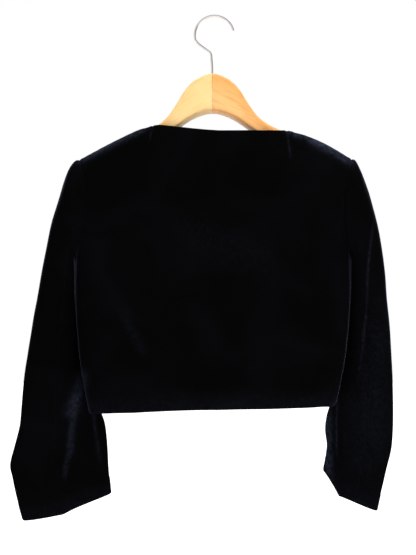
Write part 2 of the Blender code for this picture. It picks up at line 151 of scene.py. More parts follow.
# Sleeves, one row a ring from the armhole to the cuff
SLEEVE_COLUMNS = ("ring", "out_x", "out_y", "out_z", "in_x", "in_y", "in_z", "depth", "turn", "dip")
SLEEVES = {
    LEFT: table(SLEEVE_COLUMNS, (
        (0, 209, 0, -217, 214, 0, -372, 48, 0, 0),
        (1, 216, 0, -219, 217.5, 1, -376, 50, 0, 0),
        (2, 224, 1, -229, 217.2, 5, -385, 51, 0, 0),
        (3, 232, 2, -248, 215, 11, -397, 51, 1, 0),
        (4, 240, 2, -274, 212, 17, -412, 50, 3, 0),
        (5, 251.5, 3, -312, 209, 22, -432, 49, 5, 0),
        (6, 260.5, 3, -355, 206, 28, -462, 47, 8, 0),
        (7, 269.5, 4, -398, 204, 33, -494, 45, 11, 0),
        (8, 277.5, 5, -437, 202, 38, -525, 42, 14, 0),
        (9, 285.5, 8, -478, 199, 43, -555, 40, 17, 0),
        (10, 292.5, 10, -519, 194, 47, -583, 37, 20, 0),
        (11, 299.5, 13, -561, 187.5, 50, -608, 33, 22, 0),
        (12, 305.5, 17, -617, 177.5, 54, -636, 28, 24, 0),
        (13, 308.5, 18, -640, 174.5, 56, -655, 26, 25, 0),
        (14, 316.5, 20, -670, 172.5, 57, -678, 24, 25, 0),
        (15, 324, 22, -700, 171.5, 58, -700, 23, 25, 0),
        (16, 320.5, 23, -722, 170.5, 59, -720, 23, 25, 1),
        (17, 313.5, 24, -756, 168.5, 60, -740, 23, 25, 3),
        (18, 304, 25, -790, 167, 60, -756, 22, 25, 6.3),
    )),
    RIGHT: table(SLEEVE_COLUMNS, (
        (0, 217, 0, -216, 214, 0, -372, 48, 0, 0),
        (1, 223, 0, -218, 217, 1, -376, 50, 0, 0),
        (2, 229, 1, -229, 216.5, 5, -385, 51, 0, 0),
        (3, 237, 2, -248, 214.5, 11, -397, 51, 1, 0),
        (4, 246, 2, -274, 211.5, 17, -412, 50, 3, 0),
        (5, 256, 3, -312, 210, 23, -432, 49, 5, 0),
        (6, 264, 3, -355, 207, 29, -462, 47, 8, 0),
        (7, 270, 4, -398, 205, 35, -494, 45, 11, 0),
        (8, 274, 5, -437, 204, 41, -525, 42, 14, 0),
        (9, 279, 8, -478, 202, 48, -555, 40, 17, 0),
        (10, 282, 10, -519, 199, 55, -583, 37, 20, 0),
        (11, 285, 13, -561, 195, 62, -606, 33, 22, 0),
        (12, 287, 17, -612, 189, 70, -630, 28, 24, 0),
        (13, 287, 19, -645, 187, 76, -655, 26, 25, 0),
        (14, 285, 21, -675, 190.5, 81, -680, 24, 25, 0),
        (15, 278, 22, -705, 189.5, 86, -698, 23, 25, 2),
        (16, 273, 23, -728, 188.5, 89, -711, 23, 25, 6),
        (17, 268, 24, -750, 187, 92, -720, 23, 25, 11),
        (18, 263, 25, -774, 187, 95, -728, 24, 25, 20),
    )),
}

# Largest folds of the solids, as ridges raised towards -Y
FOLDS = table(("x0", "z0", "x1", "z1", "width", "height"), (
    (-196, -552, -222, -640, 15, 7),
    (-222, -640, -236, -735, 14, 4),
    (236, -600, 262, -690, 14, 4),
    (205, -668, 232, -705, 12, 5),
))

# Creases, as ridges (or troughs, where the height is negative) on the face they are seen on
CREASE_COLUMNS = ("face", "x0", "z0", "x1", "z1", "bow", "width", "height")
CREASES = table(CREASE_COLUMNS, (
    (BACK, -62, -222, -152, -338, 14, 24, 3.0),
    (BACK, 74, -232, 170, -352, -16, 28, 3.6),
    (BACK, -176, -300, -170, -436, 8, 15, 3.2),
    (BACK, 184, -312, 174, -462, -8, 14, 3.7),
    (BACK, -138, -450, -99, -521, 4, 12, 3.0),
    (BACK, -16, -262, 12, -432, 6, 44, -3.0),
    (BACK, 58, -418, 88, -604, 7, 25, 4.0),
    (BACK, -38, -452, -58, -606, 5, 29, -3.6),
    (BACK, 139, -474, 152, -600, 4, 18, 3.3),
    (BACK, -166, -486, -173, -612, -4, 15, 2.8),
    (BACK, -112, -548, -121, -614, 3, 15, 2.7),
    (BACK, 8, -528, 15, -606, -3, 19, 2.3),
    (BACK, -72, -203, 74, -209, -10, 12, 1.4),
    (BACK, -52, -312, 112, -392, 10, 30, 2.2),
    (BACK, -222, -428, -268, -468, 6, 10, 3.4),
    (BACK, -216, -468, -281, -521, 8, 9, 4.2),
    (BACK, -228, -522, -290, -546, -5, 8, 2.9),
    (BACK, -206, -536, -264, -590, 7, 9, 3.3),
    (BACK, -246, -296, -263, -421, 5, 14, 2.6),
    (BACK, -281, -602, -269, -724, 6, 14, 3.4),
    (BACK, -205, -652, -199, -748, 3, 10, 2.3),
    (BACK, -252, -644, -263, -742, -4, 9, -2.4),
    (BACK, -288, -704, -294, -776, 2, 9, 2.1),
    (BACK, 229, -441, 267, -476, -6, 10, 3.3),
    (BACK, 216, -482, 263, -533, -8, 9, 4.0),
    (BACK, 223, -546, 274, -561, 5, 8, 2.6),
    (BACK, 214, -580, 258, -622, -6, 9, 3.0),
    (BACK, 251, -301, 263, -424, -5, 14, 2.8),
    (BACK, 206, -612, 214, -702, 2, 8, 2.7),
    (BACK, 244, -662, 238, -752, -3, 9, 2.5),
    (BACK, 262, -590, 272, -668, 3, 10, -2.2),
    (FRONT, -72, -300, -160, -372, 10, 22, 3.6),
    (FRONT, 66, -306, 152, -384, -12, 24, 3.3),
    (FRONT, -60, -400, -78, -604, 6, 25, 4.1),
    (FRONT, 84, -422, 70, -600, -5, 28, 3.4),
    (FRONT, -150, -420, -138, -600, 7, 18, -3.0),
    (FRONT, 148, -402, 160, -596, -6, 19, 3.6),
    (FRONT, -180, -310, -172, -450, -6, 14, 3.1),
    (FRONT, 184, -304, 176, -438, 6, 15, 3.3),
    (FRONT, -110, -532, -104, -608, 3, 15, 2.8),
    (FRONT, 118, -520, 112, -600, -3, 13, -2.6),
    (FRONT, -40, -330, -46, -424, 4, 16, 2.0),
    (FRONT, -224, -436, -272, -482, 6, 10, 3.5),
    (FRONT, -220, -486, -284, -528, -7, 9, 4.0),
    (FRONT, -212, -540, -268, -566, 6, 9, 2.9),
    (FRONT, 226, -448, 266, -492, -6, 10, 3.6),
    (FRONT, 218, -502, 270, -540, 7, 9, 3.3),
    (FRONT, 222, -560, 266, -604, -5, 9, 2.8),
    (FRONT, -282, -590, -264, -730, 5, 14, 3.1),
    (FRONT, -226, -620, -222, -742, -4, 11, -2.4),
    (FRONT, 262, -580, 244, -712, -5, 13, 2.9),
    (FRONT, 226, -640, 220, -716, 3, 9, 2.2),
))
CREASE_DIP = 0.4
CALM_WIDTH = 14.0
DIP_PLACE = 2.0
DIP_WIDTH = 1.3
LINE_REACH = 0.12
LINE_FADE = 0.4
FACING_SPREAD = 0.7

# Painted sheen: places where the pile's colour is painted lighter and bluer, as painted highlights of its
# sheen along folds, sleeve lines, darts and shoulder ridges
PAINTED_HIGHLIGHT_COLUMNS = ("face", "x0", "z0", "x1", "z1", "bow", "width", "strength")
PAINTED_HIGHLIGHTS = table(PAINTED_HIGHLIGHT_COLUMNS, (
    (BACK, -200, -545, -229, -622, -3, 9, 0.36),
    (BACK, -217, -612, -228, -688, 2, 4.5, 0.27),
    (BACK, -229, -680, -236, -724, 1, 3.5, 0.16),
    (BACK, 247, -312, 237, -420, 2, 1.8, 0.17),
    (BACK, 238, -404, 229, -560, -2, 1.8, 0.16),
    (BACK, 258, -420, 240, -745, 0, 42, 0.057),
    (BACK, -194, -584, -182, -702, 2, 2.6, 0.18),
    (BACK, 188, -598, 194, -738, 2, 6, 0.8),
    (BACK, 203, -594, 205, -700, 2, 1.6, 0.3),
    (BACK, -92.5, -170, -96, -196, 0, 1.4, 0.16),
    (BACK, 112, -176, 117, -221, 0, 1.4, 0.18),
    (BACK, -138, -448, -99, -522, 2, 8, 0.05),
    (BACK, -54, -312, 112, -392, 8, 34, 0.026),
    (BACK, -98, -168, -208, -220, 3, 7, 1.0),
    (BACK, 108, -177, 176, -198, -2, 6, 0.5),
    (BACK, 150, -188, 218, -222, -3, 9, 0.95),
))

# Neck darts, from the neckline down
DARTS = table(("x0", "z0", "x1", "z1"), (
    (-92.5, -170, -96, -196),
    (112, -176, 117, -221),
))
DART_REACH = 1.05
DART_FADE = 0.5
DART_SWELL = (0.45, 7.0)
DART_CUT = (1.2, 1.6)

# Seams, open edges and hems; a wave has its share, its spacing and its start
SEAM_WAVES = ((0.55, 1.9, 0.0), (0.3, 3.3, 1.3), (0.15, 7.1, 0.4))
OPEN_CURL = 0.8
OPEN_PUCKER = 0.25
PUCKER_REACH = 7.0
HEM_EDGE = 3.0
# Painted sheen along the turned-up hem: its strength, and its reach as a share of the hem's depth
HEM_PAINTED_SHEEN = 0.05
HEM_PAINTED_SHEEN_REACH = 1.3
THREAD_DEPTH = 0.75
THREAD_CLEAR = 0.05
STITCH_LEAST = (0.85, 0.85, 0.8)
STITCH_MOST = (1.15, 1.15, 1.05)

# Fineness of the cloth meshes
LOWER_STEPS = 63
ARMHOLE_STEPS = 60
COLUMN_STEPS = 6
RING_STEPS = 144
EDGE_ROWS = (0.015, 0.035, 0.07)
EDGE_STEPS = (0.03, 0.075, 0.14)
EDGE_COLUMNS = (0.002, 0.0048, 0.009)
EDGE_RINGS = (0.015, 0.04, 0.08)
SAME_PLACE = 0.05
SAME_STEP = 1e-6

# Smoothing of the sleeves' cloth under the arm
RELAX_SPLIT = 4
RELAX_PASSES = 120
RELAX_SHARE = 0.5
RELAX_START = 0.5
RELAX_RISE = 2.0
RELAX_RINGS = 10.0
RELAX_FALL = 4.0
RELAX_STEPS = 7.5
RELAX_SPREAD = 3.0

# Hanger
HANGER_X = -1.5
HANGER_TILT = 0.0175
ARM_COLUMNS = ("x", "top", "bottom", "y", "half_thick")
ARM = table(ARM_COLUMNS, (
    (0.15, -88.8, -148, 0, 14),
    (8, -90.3, -148.5, 0.4, 14),
    (16, -93.3, -150.5, 1, 14),
    (30, -101.2, -156, 2, 14),
    (42, -113.6, -163, 3.2, 14),
    (52, -129.6, -170, 4.4, 14),
    (67, -151.2, -180, 6, 13.5),
    (82, -163.8, -190, 7.5, 13),
    (100, -172.5, -200, 9.5, 12),
    (125, -183.8, -209, 12, 11),
    (155, -193.2, -217, 16, 10.5),
    (180, -204.2, -225, 19, 9.5),
    (190, -210, -225, 20.5, 7.5),
    (195, -214.5, -222, 21.2, 3.5),
))
JOINT_LENGTH = 1.5
TIP_LENGTH = 0.8
ARM_STATIONS = 90
ARM_RING = 56
ARM_SQUARENESS = ((0.0, 7.0), (62.0, 7.0), (98.0, 3.2))
JOINT_EASING = ((0.0, 0.22), (0.2, 0.06), (0.5, 0.0))
ARCH_BEVEL = ((0.0, 4.0), (70.0, 4.0), (120.0, 0.0))
BEVEL_START = 0.35
BEVEL_POWER = 6
# Height in a section where the painted shade of the wood's top begins
TOP_SHADE_START = -0.3
BORE_CLEARANCE = 0.3
BORE_TOP = -80.0
BORE_BOTTOM = -110.5
BORE_SIDES = 32

# Hook
HOOK_RADIUS = 30.2
HOOK_CENTRE_X = 2.0
HOOK_START = 13.0
HOOK_END = 193.0
HOOK_STEPS = 60
HOOK_TAIL = ((-24.4, -39.4), (-20.6, -43.0), (-8.8, -51.6), (-5.0, -54.6), (-3.2, -58.0), (-2.5, -64.0))
TAIL_STEPS = 8
SHANK_BOTTOM = -110.0
WIRE_SPACING = 0.8
WIRE_SIDES = 20
WIRE_END = 1.4
WIRE_END_SHARE = 0.75

# Camera, in metres, level with the middle of the jacket, for a frame 416 pixels wide
FRAME_WIDTH = 416.0
FOCAL_PIXELS = 833.3
SENSOR_WIDTH = 36.0
CAMERA_PLACE = (-0.0077, -1.285, -0.4017)

# Finishes
PILE_DRIFT = 0.026
WEAVE_SCALE = 420.0
WEAVE_LIGHT = 2.4
THREAD_LIGHT = 3.0
WIRE_DULL = 0.82
GRAIN_LEAN = -27.0
PORE_SHARE = 0.5
STREAK_CONTRAST = {LEFT: 0.25, RIGHT: 0.6}
STREAK_TINT = (0.80, 0.66, 0.48)
CLOUD_TINT = (0.97, 0.93, 0.86)
PORE_TINT = (0.90, 0.82, 0.70)
# Painted shade: tints that darken each wooden half towards the top of its section, far more on the right
# half
TOP_SHADE_TINT = {LEFT: (0.96, 0.92, 0.86), RIGHT: (0.86, 0.72, 0.50)}

# Studio, in metres; a light has its place, its size and its colour
WHITE = (1.0, 1.0, 1.0, 1.0)
FLOOR_DIM = 0.97
FLOOR_GLOW = 0.6
GLOSS_LEFT = 1.45
GLOSS_RIGHT = 0.4
LIGHT_AIM = (0.0, 0.0, -0.4)
LIGHTS = {
    "key": ((0.8, -1.6, 1.5), (1.6, 1.6), (1.0, 0.98, 0.95)),
    "top": ((0.45, 0.25, 1.3), (1.8, 1.2), (0.92, 0.96, 1.0)),
}

# Places of the nodes in their trees
NODES_IN_ROW = 6
NODE_SPACE = (220.0, 320.0)


def length_property(name, about, default):
    return FloatProperty(name=name, description=about, default=default, unit="LENGTH")


def colour_property(name, about, default):
    return FloatVectorProperty(name=name, description=about, default=default, size=3, subtype="COLOR")


class JacketCloth(bpy.types.PropertyGroup):
    """Sizes and colours of the velvet"""
    wall: length_property("Wall", "Thickness of the velvet with its pile", 0.002)
    groove: length_property("Seam groove", "Depth of the groove along a seam", 0.0011)
    roll: length_property("Edge roll", "Width over which an edge rolls in", 0.003)
    pucker: length_property("Seam pucker", "Height of the small waves beside a seam", 0.00035)
    creases: FloatProperty(name="Creases", description="Share of the full height of the creases",
                           default=1.0, subtype="FACTOR")
    hem_turn: length_property("Hem turn", "Depth of the turned-up hem", 0.028)
    hem_puff: length_property("Hem puff", "How far the turned-up hem stands out", 0.0006)
    dart_depth: length_property("Dart groove", "Depth of the neck darts' groove", 0.0009)
    pile: colour_property("Pile", "Colour looking into the pile", (0.0012, 0.0012, 0.0012))
    # Painted sheen: the lighter blue that the pile's colour is mixed towards where highlights are painted,
    # and a little at random
    painted_sheen: colour_property("Pressed pile", "Colour of pile that is pressed over", (0.0275, 0.032, 0.0545))
    sheen: colour_property("Sheen", "Tint of light along the pile", (0.55, 0.62, 0.90))
    backing: colour_property("Backing", "Colour of the velvet's woven wrong side", (0.003, 0.0032, 0.005))


class JacketSewing(bpy.types.PropertyGroup):
    """Sizes and colour of the sewing thread"""
    pitch: length_property("Stitch pitch", "Distance between stitches along a seam", 0.0028)
    length: length_property("Stitch length", "Length of one stitch", 0.0023)
    radius: length_property("Thread radius", "Half the thickness of the thread", 0.00022)
    hem_pitch: length_property("Hem stitch pitch", "Distance between hem stitches", 0.009)
    seed: IntProperty(name="Seed", description="Seed of the small differences between stitches", default=4)
    thread: colour_property("Thread", "Colour of the thread", (0.0012, 0.0012, 0.002))


class JacketHanger(bpy.types.PropertyGroup):
    """Sizes and colours of the hanger"""
    # Painted light and shade: the left half's wood is painted paler as if lit, the right half's darker and
    # more orange as if in shade
    lit_half_wood: colour_property("Pale half", "Wood of the left half", (0.79, 0.545, 0.25))
    shaded_half_wood: colour_property("Warm half", "Wood of the right half", (0.82, 0.435, 0.175))
    grain_spacing: length_property("Grain spacing", "Distance between lines of the grain", 0.0038)
    wire_radius: length_property("Wire radius", "Half the thickness of the hook's wire", 0.0018)
    chrome: colour_property("Chrome", "Colour of the plated wire", (0.57, 0.54, 0.52))


class JacketStage(bpy.types.PropertyGroup):
    """Floor and light of the plain studio"""
    floor_height: length_property("Floor", "Height of the floor below the hook", -1.7)
    floor_size: length_property("Floor size", "Half the width of the floor", 9.0)
    floor_colour: colour_property("Floor colour", "Colour of the pale floor", (0.93, 0.93, 0.92))
    key_power: FloatProperty(name="Key light", description="Power of the large light above", default=38.0)
    top_power: FloatProperty(name="Top light", description="Power of the light over the shoulders",
                             default=26.0)
    sky: FloatProperty(name="Room light", description="Strength of the light from all round", default=0.75)


# Cloth shapes
def ease(t):
    """A rise from 0 to 1 with level ends."""
    t = np.clip(t, 0.0, 1.0)
    return t * t * (3.0 - 2.0 * t)


def smooth(rows, key, name, at):
    """A table's column read between its rows, along cubic pieces."""
    places = rows[key]
    values = rows[name]
    slopes = np.gradient(values, places)
    low = np.clip(np.searchsorted(places, at) - 1, 0, len(places) - 2)
    step = places[low + 1] - places[low]
    t = np.clip((at - places[low]) / step, 0.0, 1.0)
    rise = ease(t)
    return (values[low] * (1.0 - rise) + values[low + 1] * rise
            + step * slopes[low] * t * (1.0 - t) ** 2
            - step * slopes[low + 1] * t * t * (1.0 - t))


def top_edge(side, out, face):
    """Depth and height of a panel's top edge: the shoulder seam, then the neckline."""
    t = np.clip((out - NECK_POINT) / (1.0 - NECK_POINT), 0.0, 1.0)
    shoulder = NECK_POINT_Z[side] + (SHOULDER_TIP_Z[side] - NECK_POINT_Z[side]) * t
    shoulder = shoulder + SHOULDER_RISE[side] * np.sin(math.pi * t)
    s = np.clip(out / NECK_POINT, 0.0, 1.0)
    middle = BACK_NECK_DEPTH if face == BACK else FRONT_NECK_DEPTH
    low = BACK_NECK_Z if face == BACK else FRONT_NECK_Z
    climb = s ** BACK_NECK_CURVE if face == BACK else ease(s)
    neck_depth = NECK_POINT_DEPTH + (middle - NECK_POINT_DEPTH) * (1.0 - s * s) ** NECK_TURN
    neck = low + (NECK_POINT_Z[side] - low) * climb
    on_shoulder = out >= NECK_POINT
    depth = np.where(on_shoulder, NECK_POINT_DEPTH * (1.0 - t), neck_depth)
    corner = NECK_SOFT[side] * np.exp(-((out - NECK_POINT) / NECK_SOFT_SPAN) ** 2)
    return depth, np.where(on_shoulder, shoulder, neck) - corner


def body_half(side, face, outs, rows):
    """Points of half a body panel, rows from the hem up, columns from the centre to the side."""
    out = outs[None, :]
    row = rows[:, None]
    edge_depth, top_z = top_edge(side, out, face)
    hem_z = smooth(HEM, "across", "z", side * out)
    opening = np.maximum(0.0, 1.0 - out / NECK_POINT) * (face == FRONT)
    below = row <= LOWER_ROWS
    low_share = np.minimum(row / LOWER_ROWS, 1.0)
    angle = math.pi * np.maximum(row - LOWER_ROWS, 0.0) / ARMHOLE_ROWS
    share = 0.5 - 0.5 * np.cos(angle)
    armhole_x = side * (side * UNDERARM_X + (SHOULDER_TIP_X[side] - side * UNDERARM_X) * share)
    armhole_x = armhole_x - ARMHOLE_SCOOP[face] * np.sin(angle) ** 2
    seam_x = np.where(below, smooth(SIDE_SEAM, "share", "half_width", low_share), armhole_x)
    seam_y = ARMHOLE_DEPTH * np.where(angle > math.pi / 2.0, 1.0, np.sin(angle))
    z = np.where(below, hem_z + (UNDERARM_Z - hem_z) * low_share, UNDERARM_Z + (top_z - UNDERARM_Z) * share)
    slide = ease(share / SLIDE_SHARE)
    shift = NECK_SHIFT * share ** NECK_SHIFT_CURVE * np.minimum(1.0, (1.0 - out) / (1.0 - NECK_POINT))
    shift = shift + side * opening * (FRONT_EDGE_HEM + (FRONT_EDGE_TOP - FRONT_EDGE_HEM) * low_share)
    deep = np.abs(smooth(PROFILE[face], "z", "depth", z))
    cut = 1.0 - np.abs(seam_y / deep) ** SIDE_ROUNDNESS
    width = seam_x / cut ** (1.0 / SIDE_ROUNDNESS)
    curved = width * np.sin(np.arcsin(cut ** 0.5) * out) ** (2.0 / SIDE_ROUNDNESS)
    x = curved + (seam_x * out - curved) * slide
    y = face * deep * np.maximum(1.0 - (x / width) ** SIDE_ROUNDNESS, 0.0) ** (1.0 / SIDE_ROUNDNESS)
    turn = NECK_RIDGE + (1.0 - NECK_RIDGE) * ease((out - NECK_POINT) / (1.0 - NECK_POINT))
    turned_in = edge_depth + (y - edge_depth) * np.maximum(np.sin(angle), 0.0) ** turn
    y = np.where(angle > math.pi / 2.0, turned_in, y)
    return np.stack(np.broadcast_arrays(side * x + shift, y, z), axis=2)


def line_field(x, z, rows, dip):
    """Sum of soft lines laid over a view of the cloth, each with a dip beside it and fading at its ends."""
    total = np.zeros_like(x)
    for x0, z0, x1, z1, bow, width, height in rows:
        length = math.hypot(x1 - x0, z1 - z0)
        run_x = (x1 - x0) / length
        run_z = (z1 - z0) / length
        along = ((x - x0) * run_x + (z - z0) * run_z) / length
        across = (x - x0) * run_z - (z - z0) * run_x
        across = across - bow * 4.0 * along * (1.0 - along)
        fade = ease((along + LINE_REACH) / LINE_FADE) * ease((1.0 + LINE_REACH - along) / LINE_FADE)
        beside = np.exp(-((across - DIP_PLACE * width) / (DIP_WIDTH * width)) ** 2)
        total += height * fade * (np.exp(-(across / width) ** 2) - dip * beside)
    return total


def facing_rows(rows, face):
    """The rows of a table that belong to one face, without that column."""
    return [row[1:] for row in zip(*rows.values()) if row[0] == face]


def fold_lift(x, z):
    """Height of the large folds over a point seen from behind."""
    lift = np.zeros_like(x)
    for x0, z0, x1, z1, width, height in zip(*FOLDS.values()):
        run_x = x1 - x0
        run_z = z1 - z0
        along = ((x - x0) * run_x + (z - z0) * run_z) / (run_x ** 2 + run_z ** 2)
        near = np.clip(along, 0.0, 1.0)
        gap = np.hypot(x - x0 - run_x * near, z - z0 - run_z * near)
        lift += height * np.exp(-(gap / width) ** 2)
    return lift


def rest_push(out, y, z):
    """How far a sleeve is held out where it rests against the side of the body."""
    share = (z - HEM_Z) / (UNDERARM_Z - HEM_Z)
    near = ease((1.0 - share) / REST_TOP_FADE) * ease((share + REST_FADE) / REST_FADE)
    back, front = (smooth(PROFILE[face], "z", "depth", z) for face in (BACK, FRONT))
    deep = np.where(y < 0.0, back, front)
    width = smooth(SIDE_SEAM, "share", "half_width", np.maximum(share, 0.0))
    inside = np.maximum(1.0 - np.abs(y / deep) ** SIDE_ROUNDNESS, 0.0)
    body = width * inside ** (1.0 / SIDE_ROUNDNESS) + REST_GAP * near
    push = near * ((body - out) + np.hypot(body - out, REST_SOFT)) / 2.0
    return np.where(np.abs(y) < np.abs(deep), push, 0.0)


def cuff_dip(side, turned):
    """Share of a ring's dip: it grows to the cuff's back corner and falls off to the outer edge."""
    corner = math.radians(CUFF_CORNER[side])
    t = np.minimum(turned % (2.0 * math.pi), math.pi)
    rise = np.minimum(t / corner, 1.0) ** CUFF_RISE[side]
    return rise * np.minimum((math.pi - t) / (math.pi - corner), 1.0) ** CUFF_FALL


def sleeve_form(side, rings, steps):
    """Points of a plain sleeve: ring 0 is the armhole, steps run round from the underarm by the back."""
    ring = rings[:, None]
    read = {name: smooth(SLEEVES[side], "ring", name, ring) for name in SLEEVE_COLUMNS[1:]}
    angle = 2.0 * math.pi * steps[None, :] / RING_POINTS
    turned = angle + np.radians(read["turn"])
    x, y, z = ((read["out_" + k] + read["in_" + k]) / 2.0
               - (read["out_" + k] - read["in_" + k]) / 2.0 * np.cos(turned) for k in "xyz")
    y = y - read["depth"] * np.sin(turned)
    z = z - read["dip"] * cuff_dip(side, turned)
    scoop = np.where(np.sin(angle) > 0.0, ARMHOLE_SCOOP[BACK], ARMHOLE_SCOOP[FRONT])
    x = x - scoop * np.sin(angle) ** 2 * (1.0 - ease(ring / SCOOP_RINGS))
    return np.stack((x, y, z), axis=2)


def spline_weights(places, count, closed):
    """Weights that read a smooth line at places between evenly numbered points."""
    low = np.clip(np.floor(places).astype(int), 0, count - 1 if closed else count - 2)
    t = places - low
    near = low[:, None] + np.arange(-1, 3)
    near = near % count if closed else np.clip(near, 0, count - 1)
    basis = (2.0 * t ** 2 - t ** 3 - t,
             2.0 - 5.0 * t ** 2 + 3.0 * t ** 3,
             t + 4.0 * t ** 2 - 3.0 * t ** 3,
             t ** 3 - t ** 2)
    weights = np.zeros((len(places), count))
    np.add.at(weights, (np.arange(len(places))[:, None], near), 0.5 * np.stack(basis, axis=1))
    return weights


def sleeve_tube(side, rings, steps):
    """Points of a sleeve whose cloth hangs smooth under the arm and rests against the body."""
    last = SLEEVES[side]["ring"][-1]
    rows = np.linspace(0.0, last, int(last * RELAX_SPLIT) + 1)
    columns = np.arange(RING_POINTS * RELAX_SPLIT) / RELAX_SPLIT
    grid = sleeve_form(side, rows, columns)
    away = np.minimum(columns, RING_POINTS - columns)
    slack = ease((rows - RELAX_START) / RELAX_RISE) * ease((RELAX_RINGS - rows) / RELAX_FALL)
    slack = (slack[:, None] * ease((RELAX_STEPS - away) / RELAX_SPREAD))[1:-1, :, None]
    for _ in range(RELAX_PASSES):
        mean = (np.roll(grid, 1, axis=1) + np.roll(grid, -1, axis=1))[1:-1] + grid[:-2] + grid[2:]
        grid[1:-1] += RELAX_SHARE * slack * (mean / 4.0 - grid[1:-1])
    by_ring = spline_weights(rings * RELAX_SPLIT, len(rows), False)
    by_step = spline_weights(steps * RELAX_SPLIT % len(columns), len(columns), True)
    x, y, z = np.einsum("ri,ijk,sj->krs", by_ring, grid, by_step)
    turn = np.radians(smooth(SLEEVES[side], "ring", "turn", rings))[:, None]
    behind = np.maximum(np.sin(2.0 * math.pi * steps / RING_POINTS + turn), 0.0)
    x = side * (x + rest_push(np.abs(x), y, z))
    y = y - fold_lift(x, z) * behind ** 0.5
    return np.stack((x, y, z), axis=2)


def half_columns():
    """Places from the centre to the side of a panel, closer at its edges."""
    neck = [NECK_POINT * share for share in NECK_SHARES]
    step = (1.0 - NECK_POINT) / SHOULDER_COLUMNS
    marks = neck + [NECK_POINT + step * (i + 1) for i in range(SHOULDER_COLUMNS)]
    count = (len(marks) - 1) * COLUMN_STEPS
    even = np.interp(np.linspace(0, len(marks) - 1, count + 1), range(len(marks)), marks)
    return np.array(sorted({*even, *EDGE_COLUMNS, *(1.0 - gap for gap in EDGE_COLUMNS)}))


def armhole_places():
    """Places up half an armhole, closer at the shoulder and at the sleeve's seams."""
    seams = (HIND_SEAM, RING_POINTS - FOREARM_SEAM)
    close = {seam + gap * way for seam in seams for gap in EDGE_STEPS for way in (-1, 1)}
    close |= {ARMHOLE_ROWS - gap for gap in EDGE_STEPS}
    return np.array(sorted({*np.linspace(0, ARMHOLE_ROWS, ARMHOLE_STEPS + 1), *close}))


def grid_normals(points):
    """Outward normals of a panel's grid."""
    normals = np.cross(np.gradient(points, axis=1), np.gradient(points, axis=0))
    return normals / np.linalg.norm(normals, axis=2, keepdims=True)


def rim_indices(rows, columns):
    """Grid places round a panel, in order."""
    loop = [(0, c) for c in range(columns)]
    loop += [(r, columns - 1) for r in range(1, rows)]
    loop += [(rows - 1, c) for c in range(columns - 2, -1, -1)]
    loop += [(r, 0) for r in range(rows - 2, 0, -1)]
    return loop


def share_normals(panels, normals):
    """Gives the points where panels meet the mean of their normals."""
    rims = [(name, place) for name, points in panels.items() for place in rim_indices(*points.shape[:2])]
    tree = kdtree.KDTree(len(rims))
    for i, (name, place) in enumerate(rims):
        tree.insert(panels[name][place], i)
    tree.balance()
    means = []
    for name, place in rims:
        near = [rims[i] for _, i, _ in tree.find_range(panels[name][place], SAME_PLACE)]
        mean = sum(normals[other][spot] for other, spot in near)
        means.append(mean / np.linalg.norm(mean))
    for (name, place), mean in zip(rims, means):
        normals[name][place] = mean


@functools.cache
def skin():
    """Points and normals of every panel of the jacket, in millimetres."""
    outs = half_columns()
    climb = armhole_places()
    lower = {*np.linspace(0, LOWER_ROWS, LOWER_STEPS + 1), *EDGE_ROWS}
    rows = np.array(sorted({*lower, *(LOWER_ROWS + climb)}))
    halves = {(side, face): body_half(side, face, outs, rows)
              for side in SIDE_NAMES for face in (BACK, FRONT)}
    panels = {
        "back": np.concatenate((halves[LEFT, BACK][:, :0:-1], halves[RIGHT, BACK]), axis=1),
        "front_left": halves[LEFT, FRONT],
        "front_right": halves[RIGHT, FRONT][:, ::-1],
    }
    last = len(SLEEVES[LEFT]["ring"]) - 1
    close = {*EDGE_RINGS, *(last - gap for gap in EDGE_RINGS)}
    rings = np.array(sorted({*np.linspace(0, last, RING_STEPS + 1), *close}))
    round_steps = np.array(sorted({*climb, *(RING_POINTS - climb)}))
    turn = np.concatenate((round_steps, round_steps[1:] + RING_POINTS))
    cuts = (("upper", HIND_SEAM, FOREARM_SEAM), ("under", FOREARM_SEAM, RING_POINTS + HIND_SEAM))
    for side, name in SIDE_NAMES.items():
        for part, first, end in cuts:
            steps = turn[(turn > first - SAME_STEP) & (turn < end + SAME_STEP)]
            panels[f"sleeve_{name}_{part}"] = sleeve_tube(side, rings[::-1], steps[::side])
    forward = np.array((0.0, JACKET_FORWARD, 0.0))
    normals = {name: grid_normals(points) for name, points in panels.items()}
    share_normals(panels, normals)
    return {name: (points + forward, normals[name]) for name, points in panels.items()}


def run_length(points, axis):
    """Length along each line of a grid, from its start."""
    steps = np.linalg.norm(np.diff(points, axis=axis), axis=2)
    start = np.zeros_like(steps[:1]) if axis == 0 else np.zeros_like(steps[:, :1])
    return np.cumsum(np.concatenate((start, steps), axis=axis), axis=axis)


def seam_wave(length):
    """Uneven small waves along a seam."""
    return sum(share * np.sin(length / spacing + start) for share, spacing, start in SEAM_WAVES)


def dart_groove(x, z, depth):
    """Groove and tip of the neck darts on the back."""
    total = np.zeros_like(x)
    for x0, z0, x1, z1 in zip(*DARTS.values()):
        along = (z - z0) / (z1 - z0)
        across = x - x0 - (x1 - x0) * along
        fade = ease((DART_REACH - along) / DART_FADE)
        swell, cut = (share * np.exp(-(across / width) ** 2) for share, width in (DART_SWELL, DART_CUT))
        total += depth * fade * (swell - cut)
    return total


